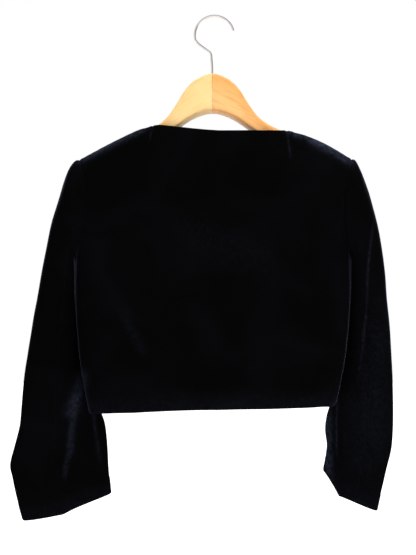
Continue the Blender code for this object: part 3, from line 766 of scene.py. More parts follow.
def panel_relief(cloth, name, points, normals, sewn_top):
    """Lift of both walls, sink of the outer wall, rise of the inner wall at edges, and the mask of painted
    sheen.
    """
    across = run_length(points, 1)
    up = run_length(points, 0)
    x = points[..., 0]
    z = points[..., 2]
    lift = np.zeros_like(x)
    painted_sheen = np.zeros_like(x)
    for face in (BACK, FRONT):
        toward = np.clip(face * normals[..., 1], 0.0, 1.0) ** FACING_SPREAD
        lift += toward * line_field(x, z, facing_rows(CREASES, face), CREASE_DIP) * cloth.creases
        # Painted sheen: highlights painted along the listed lines, on the face that shows them
        painted_sheen += toward * line_field(x, z, facing_rows(PAINTED_HIGHLIGHTS, face), 0.0)
    edge_left = across
    edge_right = across[:, -1:] - across
    edge_top = up[-1:] - up
    sewn_left = name != "front_left"
    sewn_right = name != "front_right"
    calm = ease(edge_top / CALM_WIDTH)
    calm = np.minimum(calm, ease(edge_left / CALM_WIDTH) if sewn_left else 1.0)
    calm = np.minimum(calm, ease(edge_right / CALM_WIDTH) if sewn_right else 1.0)
    lift *= calm
    roll = cloth.roll / MM
    pucker = cloth.pucker / MM
    sink = np.zeros_like(x)
    rise = np.zeros_like(x)
    sides = ((edge_left, sewn_left, up), (edge_right, sewn_right, up),
             (up, False, across), (edge_top, sewn_top, across))
    for gap, sewn, run in sides:
        curl = np.clip(1.0 - gap / roll, 0.0, 1.0) ** 2
        sink = np.maximum(sink, curl * np.where(sewn, cloth.groove / MM, OPEN_CURL))
        rise = np.maximum(rise, curl * np.where(sewn, 0.0, OPEN_CURL))
        wave = np.where(sewn, pucker, OPEN_PUCKER * pucker) * seam_wave(run)
        lift += wave * np.exp(-gap / PUCKER_REACH)
    turn = cloth.hem_turn / MM
    lift += ease((turn - up) / HEM_EDGE) * cloth.hem_puff / MM
    # Painted sheen along the turned-up hem
    painted_sheen += HEM_PAINTED_SHEEN * ease(1.0 - up / (HEM_PAINTED_SHEEN_REACH * turn))
    if name == "back":
        lift += dart_groove(x, z, cloth.dart_depth / MM)
    return lift, sink, rise, np.clip(painted_sheen, 0.0, 1.0)


def sewn_columns(node, count):
    """Whether a panel's top edge is sewn at each of its columns; a neckline isn't."""
    outs = half_columns()
    places = {
        "back": np.concatenate((outs[:0:-1], outs)),
        "front_left": outs,
        "front_right": outs[::-1],
    }
    return places[node] >= NECK_POINT if node in places else np.ones(count, dtype=bool)


def placed(name, data):
    """A new object in the scene."""
    made = bpy.data.objects.new(name, data)
    bpy.context.scene.collection.objects.link(made)
    return made


def cloth_panel(cloth, name, node):
    """A panel as two walls with rolled edges, made into a named object."""
    points, normals = skin()[node]
    rows, columns = points.shape[:2]
    lift, sink, rise, painted_sheen = panel_relief(cloth, node, points, normals, sewn_columns(node, columns))
    outer = points + normals * (lift - sink)[..., None]
    inner = points + normals * (lift - cloth.wall / MM + rise)[..., None]
    mesh = bpy.data.meshes.new(name)
    index = np.arange(rows * columns).reshape(rows, columns)
    quads = np.stack((index[:-1, :-1], index[:-1, 1:], index[1:, 1:], index[1:, :-1]), axis=2)
    quads = quads.reshape(-1, 4)
    count = rows * columns
    rim = np.array([index[place] for place in rim_indices(rows, columns)])
    after = np.roll(rim, -1)
    edge = np.stack((after, rim, rim + count, after + count), axis=1)
    faces = np.concatenate((quads, quads[:, ::-1] + count, edge))
    places = np.concatenate((outer.reshape(-1, 3), inner.reshape(-1, 3))) * MM
    mesh.from_pydata(places.tolist(), [], faces.tolist())
    for material in (velvet_pile(), velvet_backing()):
        mesh.materials.append(material)
    wrong_side = np.zeros(len(faces), dtype=np.int32)
    wrong_side[len(quads):2 * len(quads)] = 1
    mesh.polygons.foreach_set("material_index", wrong_side)
    mesh.polygons.foreach_set("use_smooth", np.ones(len(faces), dtype=bool))
    # Mask of the painted sheen, on the outer wall only
    sheen_paint = mesh.attributes.new("painted_sheen_mask", "FLOAT", "POINT")
    sheen_paint.data.foreach_set("value", np.concatenate((painted_sheen.ravel(), 0.0 * painted_sheen.ravel())))
    lay_out(mesh, points)
    mesh.update()
    return placed(name, mesh)


def lay_out(mesh, points):
    """A UV map in metres along the panel's threads."""
    across = run_length(points, 1)
    across = across - across[:, across.shape[1] // 2][:, None]
    flat = np.stack((across, run_length(points, 0)), axis=2).reshape(-1, 2) * MM
    flat = np.concatenate((flat, flat))
    corners = np.empty(len(mesh.loops), dtype=np.int32)
    mesh.loops.foreach_get("vertex_index", corners)
    layer = mesh.uv_layers.new(name="threads")
    layer.uv.foreach_set("vector", flat[corners].astype(np.float32).ravel())


def declare_cloth(made, node):
    """Attaches a panel to the root body and hides the solid of its node."""
    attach(made, "root")
    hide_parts(node)


# Node helpers
def add_node(tree, kind, values=None, **settings):
    """A node with its settings and input values, laid out in rows in the order nodes are made."""
    node = tree.nodes.new(kind)
    row, column = divmod(len(tree.nodes), NODES_IN_ROW)
    node.location = (column * NODE_SPACE[0], -row * NODE_SPACE[1])
    for key, value in settings.items():
        setattr(node, key, value)
    for key, value in (values or {}).items():
        node.inputs[key].default_value = value
    return node


def chain(tree, *links):
    """Links the named output of one node to the named input of another, for each row."""
    for source, output, target, entry in links:
        tree.links.new(source.outputs[output], target.inputs[entry])


def new_group(name, kind, inputs, outputs):
    """An empty node group with named sockets."""
    group = bpy.data.node_groups.new(name, kind)
    for label, socket in inputs.items():
        group.interface.new_socket(label, in_out="INPUT", socket_type="NodeSocket" + socket)
    for label, socket in outputs.items():
        group.interface.new_socket(label, in_out="OUTPUT", socket_type="NodeSocket" + socket)
    return group, add_node(group, "NodeGroupInput"), add_node(group, "NodeGroupOutput")


# Shared material effects
@functools.cache
def uneven_group():
    """Broad and fine unevenness of a surface, as from handling and wear."""
    group, enter, leave = new_group(
        "uneven_surface", "ShaderNodeTree",
        {"Vector": "Vector", "Broad scale": "Float", "Fine scale": "Float"},
        {"Broad": "Float", "Fine": "Float"})
    broad = add_node(group, "ShaderNodeTexNoise", {"Detail": 3.0, "Roughness": 0.55, "Distortion": 0.6})
    fine = add_node(group, "ShaderNodeTexNoise", {"Detail": 2.0, "Roughness": 0.6})
    level = add_node(group, "ShaderNodeMapRange", {"From Min": 0.38, "From Max": 0.72})
    chain(group,
          (enter, "Vector", broad, "Vector"),
          (enter, "Vector", fine, "Vector"),
          (enter, "Broad scale", broad, "Scale"),
          (enter, "Fine scale", fine, "Scale"),
          (broad, "Fac", level, "Value"),
          (level, "Result", leave, "Broad"),
          (fine, "Fac", leave, "Fine"))
    return group


@functools.cache
def grain_group():
    """Streaks and pores of the wood's grain, along the X of the vector."""
    group, enter, leave = new_group(
        "wood_grain", "ShaderNodeTree",
        {"Vector": "Vector", "Streak scale": "Float"}, {"Streaks": "Float", "Pores": "Float"})
    long = add_node(group, "ShaderNodeMapping", {"Scale": (0.03, 1.0, 1.0)})
    streaks = add_node(group, "ShaderNodeTexNoise", {"Detail": 2.0, "Distortion": 0.25})
    dark = add_node(group, "ShaderNodeMapRange", {"From Min": 0.46, "From Max": 0.68},
                    interpolation_type="SMOOTHSTEP")
    short = add_node(group, "ShaderNodeMapping", {"Scale": (40.0, 900.0, 900.0)})
    pores = add_node(group, "ShaderNodeTexNoise", {"Scale": 1.0, "Detail": 2.0})
    sharp = add_node(group, "ShaderNodeMapRange", {"From Min": 0.56, "From Max": 0.72})
    chain(group,
          (enter, "Vector", long, "Vector"),
          (enter, "Streak scale", streaks, "Scale"),
          (long, "Vector", streaks, "Vector"),
          (streaks, "Fac", dark, "Value"),
          (dark, "Result", leave, "Streaks"),
          (enter, "Vector", short, "Vector"),
          (short, "Vector", pores, "Vector"),
          (pores, "Fac", sharp, "Value"),
          (sharp, "Result", leave, "Pores"))
    return group


def uneven_node(tree, where, broad, fine):
    """The unevenness group placed in a material."""
    node = add_node(tree, "ShaderNodeGroup", {"Broad scale": broad, "Fine scale": fine},
                    node_tree=uneven_group())
    chain(tree, (where, "Object", node, "Vector"))
    return node


def colour_mix(tree, value, low, high):
    """Mixes two colours by a node's output that changes over the surface."""
    mix = add_node(tree, "ShaderNodeMix", {"A": (*low, 1.0), "B": (*high, 1.0)}, data_type="RGBA")
    chain(tree, (*value, mix, "Factor"))
    return mix


def tinted(tree, base, value, tint):
    """Multiplies a colour by a tint where a node's output is high."""
    mix = add_node(tree, "ShaderNodeMix", {"B": (*tint, 1.0)}, data_type="RGBA", blend_type="MULTIPLY")
    chain(tree, (base, "Result", mix, "A"), (*value, mix, "Factor"))
    return mix


def toned(colour, share):
    """A colour made lighter or darker by one share."""
    return tuple(share * value for value in colour)


# Finishes
def new_finish(name, broad, fine, values):
    """A material with its shader's fixed values and the unevenness of its surface."""
    material = bpy.data.materials.new(name)
    material.use_nodes = True
    tree = material.node_tree
    for key, value in values.items():
        tree.nodes["Principled BSDF"].inputs[key].default_value = value
    where = add_node(tree, "ShaderNodeTexCoord")
    return material, tree, where, uneven_node(tree, where, broad, fine)


def lay_colour(tree, colour):
    """Links a finish's colour to its shader."""
    chain(tree, (colour, "Result", tree.nodes["Principled BSDF"], "Base Color"))


def lay_roughness(tree, value, low, high):
    """Gives a finish its roughness where a node's output is low and where it is high."""
    rough = add_node(tree, "ShaderNodeMapRange", {"To Min": low, "To Max": high})
    chain(tree, (*value, rough, "Value"), (rough, "Result", tree.nodes["Principled BSDF"], "Roughness"))


def lay_relief(tree, value, strength, depth):
    """Gives a finish a fine relief from a node's output."""
    bump = add_node(tree, "ShaderNodeBump", {"Strength": strength, "Distance": depth})
    chain(tree, (*value, bump, "Height"), (bump, "Normal", tree.nodes["Principled BSDF"], "Normal"))


@functools.cache
def velvet_pile():
    """The right side of the velvet: a near-black pile with a cool sheen; its colour is mixed towards a
    lighter blue as painted sheen where the mask marks highlights, and a little at random.
    """
    cloth = bpy.context.scene.jacket_cloth
    material, tree, where, uneven = new_finish("velvet_pile", broad=9.0, fine=1500.0, values={
        "Specular IOR Level": 0.0, "Sheen Weight": 0.15, "Sheen Roughness": 0.20,
        "Sheen Tint": (*cloth.sheen, 1.0)})
    # Painted sheen from the mask, mottled at random, mixed into the pile's colour together with a little
    # random drift
    sheen_paint = add_node(tree, "ShaderNodeAttribute", attribute_name="painted_sheen_mask")
    sheen_mottle = uneven_node(tree, where, broad=170.0, fine=600.0)
    patchy = add_node(tree, "ShaderNodeMapRange", {"To Min": 0.35, "To Max": 1.3})
    marks = add_node(tree, "ShaderNodeMath", operation="MULTIPLY")
    drift = add_node(tree, "ShaderNodeMath", {1: PILE_DRIFT}, operation="MULTIPLY")
    total = add_node(tree, "ShaderNodeMath", operation="ADD", use_clamp=True)
    chain(tree,
          (sheen_mottle, "Broad", patchy, "Value"),
          (sheen_paint, "Fac", marks, 0),
          (patchy, "Result", marks, 1),
          (uneven, "Broad", drift, 0),
          (drift, "Value", total, 0),
          (marks, "Value", total, 1))
    lay_colour(tree, colour_mix(tree, (total, "Value"), cloth.pile, cloth.painted_sheen))
    lay_roughness(tree, (total, "Value"), low=0.95, high=0.7)
    lay_relief(tree, (uneven, "Fine"), strength=0.35, depth=0.0006)
    return material


@functools.cache
def velvet_backing():
    """The wrong side of the velvet: a plain dark weave."""
    cloth = bpy.context.scene.jacket_cloth
    material, tree, where, uneven = new_finish("velvet_backing", broad=14.0, fine=700.0, values={
        "Specular IOR Level": 0.2})
    warp = add_node(tree, "ShaderNodeTexWave", {"Scale": WEAVE_SCALE}, bands_direction="X")
    weft = add_node(tree, "ShaderNodeTexWave", {"Scale": WEAVE_SCALE}, bands_direction="Y")
    weave = add_node(tree, "ShaderNodeMath", operation="MULTIPLY")
    worn = add_node(tree, "ShaderNodeMath", operation="MULTIPLY")
    chain(tree,
          (where, "UV", warp, "Vector"),
          (where, "UV", weft, "Vector"),
          (warp, "Fac", weave, 0),
          (weft, "Fac", weave, 1),
          (weave, "Value", worn, 0),
          (uneven, "Broad", worn, 1))
    light = toned(cloth.backing, WEAVE_LIGHT)
    lay_colour(tree, colour_mix(tree, (worn, "Value"), cloth.backing, light))
    lay_roughness(tree, (uneven, "Fine"), low=0.82, high=0.95)
    lay_relief(tree, (weave, "Value"), strength=0.4, depth=0.0003)
    return material


@functools.cache
def sewing_thread():
    """Dark polished cotton thread."""
    thread = bpy.context.scene.jacket_sewing.thread
    material, tree, _, uneven = new_finish("sewing_thread", broad=60.0, fine=3000.0, values={
        "Specular IOR Level": 0.08})
    lay_colour(tree, colour_mix(tree, (uneven, "Fine"), thread, toned(thread, THREAD_LIGHT)))
    lay_roughness(tree, (uneven, "Broad"), low=0.5, high=0.7)
    return material


def lacquered_wood(name, side, tone):
    """Satin lacquered wood with its grain along one arm of the hanger, with painted shade that darkens it
    towards the top of its section.
    """
    material, tree, where, uneven = new_finish(name, broad=22.0, fine=500.0, values={
        "Coat Weight": 0.12, "Coat Roughness": 0.3, "Specular IOR Level": 0.2})
    spacing = bpy.context.scene.jacket_hanger.grain_spacing
    lean = add_node(tree, "ShaderNodeMapping", {"Rotation": (0.0, side * math.radians(GRAIN_LEAN), 0.0)})
    grain = add_node(tree, "ShaderNodeGroup", {"Streak scale": 1.0 / spacing}, node_tree=grain_group())
    lines = add_node(tree, "ShaderNodeMath", {1: STREAK_CONTRAST[side]}, operation="MULTIPLY")
    pores = add_node(tree, "ShaderNodeMath", {1: PORE_SHARE}, operation="MULTIPLY")
    # Painted shade towards the top of the section
    shaded_top = add_node(tree, "ShaderNodeAttribute", attribute_name="painted_top_shade")
    chain(tree,
          (where, "Object", lean, "Vector"),
          (lean, "Vector", grain, "Vector"),
          (grain, "Streaks", lines, 0),
          (grain, "Pores", pores, 0))
    deep = tuple(value * share for value, share in zip(tone, STREAK_TINT))
    colour = colour_mix(tree, (lines, "Value"), tone, deep)
    colour = tinted(tree, colour, (uneven, "Broad"), CLOUD_TINT)
    colour = tinted(tree, colour, (pores, "Value"), PORE_TINT)
    lay_colour(tree, tinted(tree, colour, (shaded_top, "Fac"), TOP_SHADE_TINT[side]))
    lay_roughness(tree, (uneven, "Broad"), low=0.36, high=0.52)
    lay_relief(tree, (grain, "Pores"), strength=0.15, depth=0.0003)
    return material


@functools.cache
def plated_wire():
    """Chrome plate, a little dulled where hands and rails touch it."""
    chrome = bpy.context.scene.jacket_hanger.chrome
    material, tree, _, uneven = new_finish("plated_wire", broad=80.0, fine=2500.0, values={"Metallic": 1.0})
    lay_colour(tree, colour_mix(tree, (uneven, "Broad"), chrome, toned(chrome, WIRE_DULL)))
    lay_roughness(tree, (uneven, "Broad"), low=0.10, high=0.26)
    lay_relief(tree, (uneven, "Fine"), strength=0.05, depth=0.0001)
    return material


# Trees that follow a path
def end_tree(group, shape, finish, result):
    """Makes a tree's instances real, shades them smooth and gives them their finish."""
    real = add_node(group, "GeometryNodeRealizeInstances")
    soft = add_node(group, "GeometryNodeSetShadeSmooth")
    dressed = add_node(group, "GeometryNodeSetMaterial")
    chain(group,
          (*shape, real, "Geometry"),
          (real, "Geometry", soft, "Geometry"),
          (soft, "Geometry", dressed, "Geometry"),
          (*finish, dressed, "Material"),
          (dressed, "Geometry", *result))


@functools.cache
def stitch_tree():
    """A row of stitches along each path."""
    group, enter, leave = new_group(
        "stitch_row", "GeometryNodeTree",
        {"Paths": "Geometry", "Pitch": "Float", "Length": "Float", "Radius": "Float", "Seed": "Int",
         "Thread": "Material"}, {"Stitches": "Geometry"})
    along = add_node(group, "GeometryNodeCurveToPoints", mode="LENGTH")
    bead = add_node(group, "GeometryNodeMeshUVSphere", {"Segments": 6, "Rings": 4, "Radius": 1.0})
    half = add_node(group, "ShaderNodeMath", {1: 0.5}, operation="MULTIPLY")
    size = add_node(group, "ShaderNodeCombineXYZ")
    shaped = add_node(group, "GeometryNodeTransform")
    vary = add_node(group, "FunctionNodeRandomValue", {0: STITCH_LEAST, 1: STITCH_MOST},
                    data_type="FLOAT_VECTOR")
    place = add_node(group, "GeometryNodeInstanceOnPoints")
    chain(group,
          (enter, "Paths", along, "Curve"),
          (enter, "Pitch", along, "Length"),
          (enter, "Length", half, 0),
          (enter, "Radius", size, "X"),
          (enter, "Radius", size, "Y"),
          (half, "Value", size, "Z"),
          (bead, "Mesh", shaped, "Geometry"),
          (size, "Vector", shaped, "Scale"),
          (enter, "Seed", vary, "Seed"),
          (along, "Points", place, "Points"),
          (along, "Rotation", place, "Rotation"),
          (shaped, "Geometry", place, "Instance"),
          (vary, "Value", place, "Scale"))
    end_tree(group, (place, "Instances"), (enter, "Thread"), (leave, "Stitches"))
    return group


@functools.cache
def wire_tree():
    """A round wire along a path, with a rounded free end."""
    group, enter, leave = new_group(
        "bent_wire", "GeometryNodeTree",
        {"Path": "Geometry", "Radius": "Float", "Spacing": "Float", "Sides": "Int", "Plate": "Material"},
        {"Wire": "Geometry"})
    even = add_node(group, "GeometryNodeResampleCurve", mode="LENGTH")
    along = add_node(group, "GeometryNodeSplineParameter")
    tip = add_node(group, "ShaderNodeMapRange", {"From Max": WIRE_END * MM, "To Min": WIRE_END_SHARE},
                   interpolation_type="SMOOTHSTEP")
    ring = add_node(group, "GeometryNodeCurvePrimitiveCircle")
    sweep = add_node(group, "GeometryNodeCurveToMesh", {"Fill Caps": True})
    chain(group,
          (enter, "Path", even, "Curve"),
          (enter, "Spacing", even, "Length"),
          (along, "Length", tip, "Value"),
          (tip, "Result", sweep, "Scale"),
          (enter, "Radius", ring, "Radius"),
          (enter, "Sides", ring, "Resolution"),
          (even, "Curve", sweep, "Curve"),
          (ring, "Curve", sweep, "Profile Curve"))
    end_tree(group, (sweep, "Mesh"), (enter, "Plate"), (leave, "Wire"))
    return group


def path_object(name, paths):
    """A curve object with one straight-edged spline for each path, in metres."""
    curve = bpy.data.curves.new(name, "CURVE")
    curve.dimensions = "3D"
    for path in paths:
        spline = curve.splines.new("POLY")
        spline.points.add(len(path) - 1)
        for point, place in zip(spline.points, path):
            point.co = (*place, 1.0)
    return placed(name, curve)


def grown(name, source, tree, **values):
    """The plain mesh that a tree makes from a source object, which is then removed."""
    modifier = source.modifiers.new(tree.name, "NODES")
    modifier.node_group = tree
    sockets = {s.name: s.identifier for s in tree.interface.items_tree if s.in_out == "INPUT"}
    for label, value in values.items():
        modifier[sockets[label]] = value
    return baked(name, source)


def baked(name, source):
    """A plain mesh object with the source's modifiers applied; the source is removed."""
    depsgraph = bpy.context.evaluated_depsgraph_get()
    mesh = bpy.data.meshes.new_from_object(source.evaluated_get(depsgraph))
    mesh.name = name
    if not mesh.polygons:
        raise RuntimeError(f"{name} came out empty")
    bpy.data.objects.remove(source)
    return placed(name, mesh)


# Sewing paths
def seam_paths(cloth):
    """Lines low in each seam's groove, in metres."""
    lines = []
    deep = cloth.groove * THREAD_DEPTH / MM
    for node in ("back", "sleeve_left_upper", "sleeve_right_upper"):
        points, normals = skin()[node]
        sunk = points - normals * deep
        lines += [sunk[:, 0], sunk[:, -1]]
        if node != "back":
            lines.append(sunk[-1])
    for node in ("front_left", "front_right"):
        points, normals = skin()[node]
        sunk = points - normals * deep
        lines.append(sunk[-1][sewn_columns(node, points.shape[1])])
    return [line * MM for line in lines]


def hem_paths(cloth):
    """Lines inside the jacket where the turned-up hems are caught down, in metres."""
    lines = []
    for points, normals in skin().values():
        inside = points - normals * (cloth.wall / MM + THREAD_CLEAR)
        rows = np.argmin(np.abs(run_length(points, 0) - cloth.hem_turn / MM), axis=0)
        lines.append(inside[rows, np.arange(points.shape[1])] * MM)
    return lines


# Hanger
def arm_sections(side):
    """Points of the rounded sections along half the hanger, and how far up its section each one lies."""
    start = ARM["x"][0]
    eased = [start + along for along, _ in JOINT_EASING]
    stations = np.array(sorted({*eased, *np.linspace(start + JOINT_LENGTH, ARM["x"][-1], ARM_STATIONS)}))
    pinch = np.interp(stations - start, *zip(*JOINT_EASING))
    top, bottom, y, thick = (smooth(ARM, "x", column, stations) for column in ARM_COLUMNS[1:])
    angle = 2.0 * math.pi * (np.arange(ARM_RING) + 0.5) / ARM_RING
    power = 2.0 / np.interp(stations, *zip(*ARM_SQUARENESS))[:, None]
    across = np.sign(np.cos(angle)) * np.abs(np.cos(angle)) ** power
    up = np.sign(np.sin(angle)) * np.abs(np.sin(angle)) ** power
    middle = (top + bottom) / 2.0 + side * stations * HANGER_TILT
    behind = np.clip((-across - BEVEL_START) / (1.0 - BEVEL_START), 0.0, 1.0)
    bevel = np.interp(stations, *zip(*ARCH_BEVEL))[:, None] * behind * np.maximum(-up, 0.0) ** BEVEL_POWER
    z = middle[:, None] + ((top - bottom) / 2.0 - pinch)[:, None] * up + bevel
    x = np.broadcast_to((HANGER_X + side * stations)[:, None], z.shape)
    return np.stack((x, y[:, None] + (thick - pinch)[:, None] * across, z), axis=2) * MM, up


def meshed(name, bm, material):
    """An object of one finish from a bmesh, which is then freed."""
    mesh = bpy.data.meshes.new(name)
    bm.to_mesh(mesh)
    bm.free()
    mesh.materials.append(material)
    return placed(name, mesh)


def hanger_half(name, side, material):
    """Half of the wooden hanger, lofted through its sections and bored for the hook's shank."""
    places, up = arm_sections(side)
    bm = bmesh.new()
    rings = [[bm.verts.new(point) for point in ring] for ring in places]
    round_ring = [(i, (i + 1) % ARM_RING) for i in range(ARM_RING)]
    for near, after in zip(rings, rings[1:]):
        for i, k in round_ring:
            bm.faces.new((near[i], near[k], after[k], after[i]))
    bm.faces.new(rings[0])
    tip = bm.verts.new(places[-1].mean(axis=0) + np.array((side * TIP_LENGTH * MM, 0.0, 0.0)))
    for i, k in round_ring:
        bm.faces.new((rings[-1][i], rings[-1][k], tip))
    bmesh.ops.recalc_face_normals(bm, faces=bm.faces)
    for face in bm.faces:
        face.smooth = len(face.verts) <= 4
    half = meshed(name + "_uncut", bm, material)
    # Painted shade: darker towards the top of each section
    top_shade = ease((up - TOP_SHADE_START) / (1.0 - TOP_SHADE_START))
    layer = half.data.attributes.new("painted_top_shade", "FLOAT", "POINT")
    layer.data.foreach_set("value", np.append(top_shade.ravel(), 0.0))
    bore = shank_bore(name + "_bore", material)
    cut = half.modifiers.new("shank bore", "BOOLEAN")
    cut.operation = "DIFFERENCE"
    cut.solver = "EXACT"
    cut.object = bore
    made = baked(name, half)
    bpy.data.objects.remove(bore)
    return made


def shank_bore(name, material):
    """The round hole that takes the hook's shank."""
    radius = bpy.context.scene.jacket_hanger.wire_radius + BORE_CLEARANCE * MM
    bm = bmesh.new()
    bmesh.ops.create_cone(bm, cap_ends=True, segments=BORE_SIDES, radius1=radius, radius2=radius,
                          depth=(BORE_TOP - BORE_BOTTOM) * MM)
    middle = Vector((HANGER_X, 0.0, (BORE_TOP + BORE_BOTTOM) / 2.0)) * MM
    bmesh.ops.translate(bm, verts=bm.verts, vec=middle)
    return meshed(name, bm, material)


def hook_path(wire_radius):
    """The bend of the hook from its free end to the foot of the shank, in metres."""
    centre_z = wire_radius / MM - HOOK_RADIUS
    angles = np.radians(np.linspace(HOOK_START, HOOK_END, HOOK_STEPS + 1))
    path = list(zip(HOOK_CENTRE_X + HOOK_RADIUS * np.cos(angles), centre_z + HOOK_RADIUS * np.sin(angles)))
    knots = np.array([path[-2], path[-1], *HOOK_TAIL, (HANGER_X, BORE_TOP), (HANGER_X, SHANK_BOTTOM)])
    for before, start, end, after in zip(knots, knots[1:], knots[2:], knots[3:]):
        for t in np.linspace(1.0 / TAIL_STEPS, 1.0, TAIL_STEPS):
            path.append(0.5 * (2.0 * start + (end - before) * t
                               + (2.0 * before - 5.0 * start + 4.0 * end - after) * t ** 2
                               + (3.0 * start - before - 3.0 * end + after) * t ** 3))
    path.append((HANGER_X, SHANK_BOTTOM))
    return [(x * MM, 0.0, z * MM) for x, z in path]


# Stage
def area_light(name, power):
    """A soft light that points at the jacket and isn't mirrored in gloss."""
    place, size, colour = LIGHTS[name]
    lamp = bpy.data.lights.new(name + "_light", "AREA")
    lamp.shape = "RECTANGLE"
    lamp.size, lamp.size_y = size
    lamp.energy = power
    lamp.color = colour
    made = placed(name + "_light", lamp)
    made.location = place
    made.rotation_euler = (Vector(LIGHT_AIM) - Vector(place)).to_track_quat("-Z", "Y").to_euler()
    made.visible_glossy = False


def studio_world(strength):
    """White to the camera, a soft light from above, and a brighter left side for gloss to mirror."""
    world = bpy.data.worlds.new("plain_studio")
    world.use_nodes = True
    tree = world.node_tree
    tree.nodes.clear()
    where = add_node(tree, "ShaderNodeTexCoord")
    axes = add_node(tree, "ShaderNodeSeparateXYZ")
    height = add_node(tree, "ShaderNodeMapRange", {"From Min": -0.3, "To Min": 0.22, "To Max": 1.7},
                      interpolation_type="SMOOTHSTEP")
    level = add_node(tree, "ShaderNodeMath", {1: strength}, operation="MULTIPLY")
    across = add_node(tree, "ShaderNodeMapRange",
                      {"From Min": -1.0, "To Min": GLOSS_LEFT, "To Max": GLOSS_RIGHT})
    soft, mirrored, seen = (add_node(tree, "ShaderNodeBackground", {"Color": WHITE}) for _ in range(3))
    ray = add_node(tree, "ShaderNodeLightPath")
    lit = add_node(tree, "ShaderNodeMixShader")
    mix = add_node(tree, "ShaderNodeMixShader")
    end = add_node(tree, "ShaderNodeOutputWorld")
    chain(tree,
          (where, "Generated", axes, "Vector"),
          (axes, "Z", height, "Value"),
          (height, "Result", level, 0),
          (level, "Value", soft, "Strength"),
          (axes, "X", across, "Value"),
          (across, "Result", mirrored, "Strength"),
          (ray, "Is Glossy Ray", lit, 0),
          (soft, "Background", lit, 1),
          (mirrored, "Background", lit, 2),
          (ray, "Is Camera Ray", mix, 0),
          (lit, "Shader", mix, 1),
          (seen, "Background", mix, 2),
          (mix, "Shader", end, "Surface"))
    return world


def floor_finish(colour):
    """Matt pale paint that reads as white in the studio's light."""
    material, tree, _, uneven = new_finish("pale_floor", broad=0.8, fine=60.0, values={
        "Roughness": 0.9, "Emission Color": WHITE, "Emission Strength": FLOOR_GLOW})
    lay_colour(tree, colour_mix(tree, (uneven, "Broad"), colour, toned(colour, FLOOR_DIM)))
    return material


# Operators
class JACKET_OT_back(bpy.types.Operator):
    """Make the back panel with its neck darts"""
    bl_idname = "jacket.back"
    bl_label = "Back"

    def execute(self, context):
        made = cloth_panel(context.scene.jacket_cloth, "back_panel", "back")
        declare_cloth(made, "back")
        return {"FINISHED"}


class JACKET_OT_fronts(bpy.types.Operator):
    """Make the two front panels"""
    bl_idname = "jacket.fronts"
    bl_label = "Fronts"

    def execute(self, context):
        for side in SIDE_NAMES.values():
            node = f"front_{side}"
            made = cloth_panel(context.scene.jacket_cloth, f"front_panel_{side}", node)
            declare_cloth(made, node)
        return {"FINISHED"}


class JACKET_OT_sleeves(bpy.types.Operator):
    """Make the upper and under panel of each sleeve"""
    bl_idname = "jacket.sleeves"
    bl_label = "Sleeves"

    def execute(self, context):
        for side in SIDE_NAMES.values():
            for part in ("upper", "under"):
                node = f"sleeve_{side}_{part}"
                made = cloth_panel(context.scene.jacket_cloth, f"{part}_sleeve_{side}", node)
                declare_cloth(made, node)
        return {"FINISHED"}


class JACKET_OT_sewing(bpy.types.Operator):
    """Make the stitches in the seams and inside the hems"""
    bl_idname = "jacket.sewing"
    bl_label = "Sewing"

    def execute(self, context):
        cloth = context.scene.jacket_cloth
        sewing = context.scene.jacket_sewing
        rows = (("seam_stitches", seam_paths(cloth), sewing.pitch),
                ("hem_stitches", hem_paths(cloth), sewing.hem_pitch))
        for name, paths, pitch in rows:
            source = path_object(name + "_paths", paths)
            made = grown(name, source, stitch_tree(), Pitch=pitch, Length=sewing.length,
                         Radius=sewing.radius, Seed=sewing.seed, Thread=sewing_thread())
            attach(made, "root")
        return {"FINISHED"}


class JACKET_OT_hanger(bpy.types.Operator):
    """Make the two wooden halves of the hanger"""
    bl_idname = "jacket.hanger"
    bl_label = "Hanger halves"

    def execute(self, context):
        hanger = context.scene.jacket_hanger
        # Lit and shaded tones of one wood, painted onto the two halves
        tones = {LEFT: hanger.lit_half_wood, RIGHT: hanger.shaded_half_wood}
        for side, name in SIDE_NAMES.items():
            wood = lacquered_wood(f"hanger_wood_{name}", side, tones[side])
            made = hanger_half(f"hanger_half_{name}", side, wood)
            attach(made, "root")
            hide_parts(f"hanger_arm_{name}")
        return {"FINISHED"}


class JACKET_OT_hook(bpy.types.Operator):
    """Make the bent wire hook"""
    bl_idname = "jacket.hook"
    bl_label = "Hook"

    def execute(self, context):
        radius = context.scene.jacket_hanger.wire_radius
        source = path_object("wire_hook_path", [hook_path(radius)])
        made = grown("wire_hook", source, wire_tree(), Radius=radius, Spacing=WIRE_SPACING * MM,
                     Sides=WIRE_SIDES, Plate=plated_wire())
        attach(made, "root")
        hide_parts("hanger_hook")
        return {"FINISHED"}


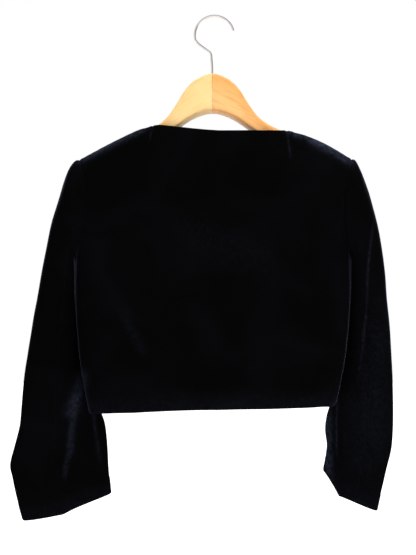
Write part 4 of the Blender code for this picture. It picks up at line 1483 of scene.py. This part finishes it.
class JACKET_OT_stage(bpy.types.Operator):
    """Make the floor, the light and the camera"""
    bl_idname = "jacket.stage"
    bl_label = "Stage"

    def execute(self, context):
        stage = context.scene.jacket_stage
        size = stage.floor_size
        low = stage.floor_height
        corners = ((-size, -size, low), (size, -size, low), (size, size, low), (-size, size, low))
        mesh = bpy.data.meshes.new("studio_floor")
        mesh.from_pydata(corners, [], [(0, 1, 2, 3)])
        mesh.materials.append(floor_finish(stage.floor_colour))
        floor = placed("studio_floor", mesh)
        area_light("key", stage.key_power)
        area_light("top", stage.top_power)
        context.scene.world = studio_world(stage.sky)
        context.scene.view_settings.view_transform = "Standard"
        lens = bpy.data.cameras.new("photo_camera")
        lens.sensor_fit = "HORIZONTAL"
        lens.sensor_width = SENSOR_WIDTH
        lens.lens = FOCAL_PIXELS / FRAME_WIDTH * SENSOR_WIDTH
        camera = placed("photo_camera", lens)
        camera.location = CAMERA_PLACE
        camera.rotation_euler = (math.pi / 2.0, 0.0, 0.0)
        context.scene.camera = camera
        return {"FINISHED"}


GROUPS = {
    "jacket_cloth": JacketCloth,
    "jacket_sewing": JacketSewing,
    "jacket_hanger": JacketHanger,
    "jacket_stage": JacketStage,
}
OPERATORS = (JACKET_OT_stage, JACKET_OT_hanger, JACKET_OT_hook, JACKET_OT_back, JACKET_OT_fronts,
             JACKET_OT_sleeves, JACKET_OT_sewing)


class JACKET_PT_panel(bpy.types.Panel):
    """Sizes, colours and steps of the jacket"""
    bl_idname = "JACKET_PT_panel"
    bl_label = "Jacket"
    bl_space_type = "VIEW_3D"
    bl_region_type = "UI"
    bl_category = "Jacket"

    def draw(self, context):
        for operator in OPERATORS:
            self.layout.operator(operator.bl_idname)
        for name, group in GROUPS.items():
            box = self.layout.box()
            box.label(text=group.__doc__)
            for key in group.__annotations__:
                box.prop(getattr(context.scene, name), key)


def register():
    for group in (*GROUPS.values(), *OPERATORS, JACKET_PT_panel):
        bpy.utils.register_class(group)
    for name, group in GROUPS.items():
        setattr(bpy.types.Scene, name, PointerProperty(type=group))


def unregister():
    for name in GROUPS:
        delattr(bpy.types.Scene, name)
    for group in (JACKET_PT_panel, *reversed(OPERATORS), *reversed(GROUPS.values())):
        bpy.utils.unregister_class(group)


def main():
    register()
    bpy.ops.jacket.stage()
    bpy.ops.jacket.hanger()
    bpy.ops.jacket.hook()
    bpy.ops.jacket.back()
    bpy.ops.jacket.fronts()
    bpy.ops.jacket.sleeves()
    bpy.ops.jacket.sewing()


if __name__ == "__main__":
    main()
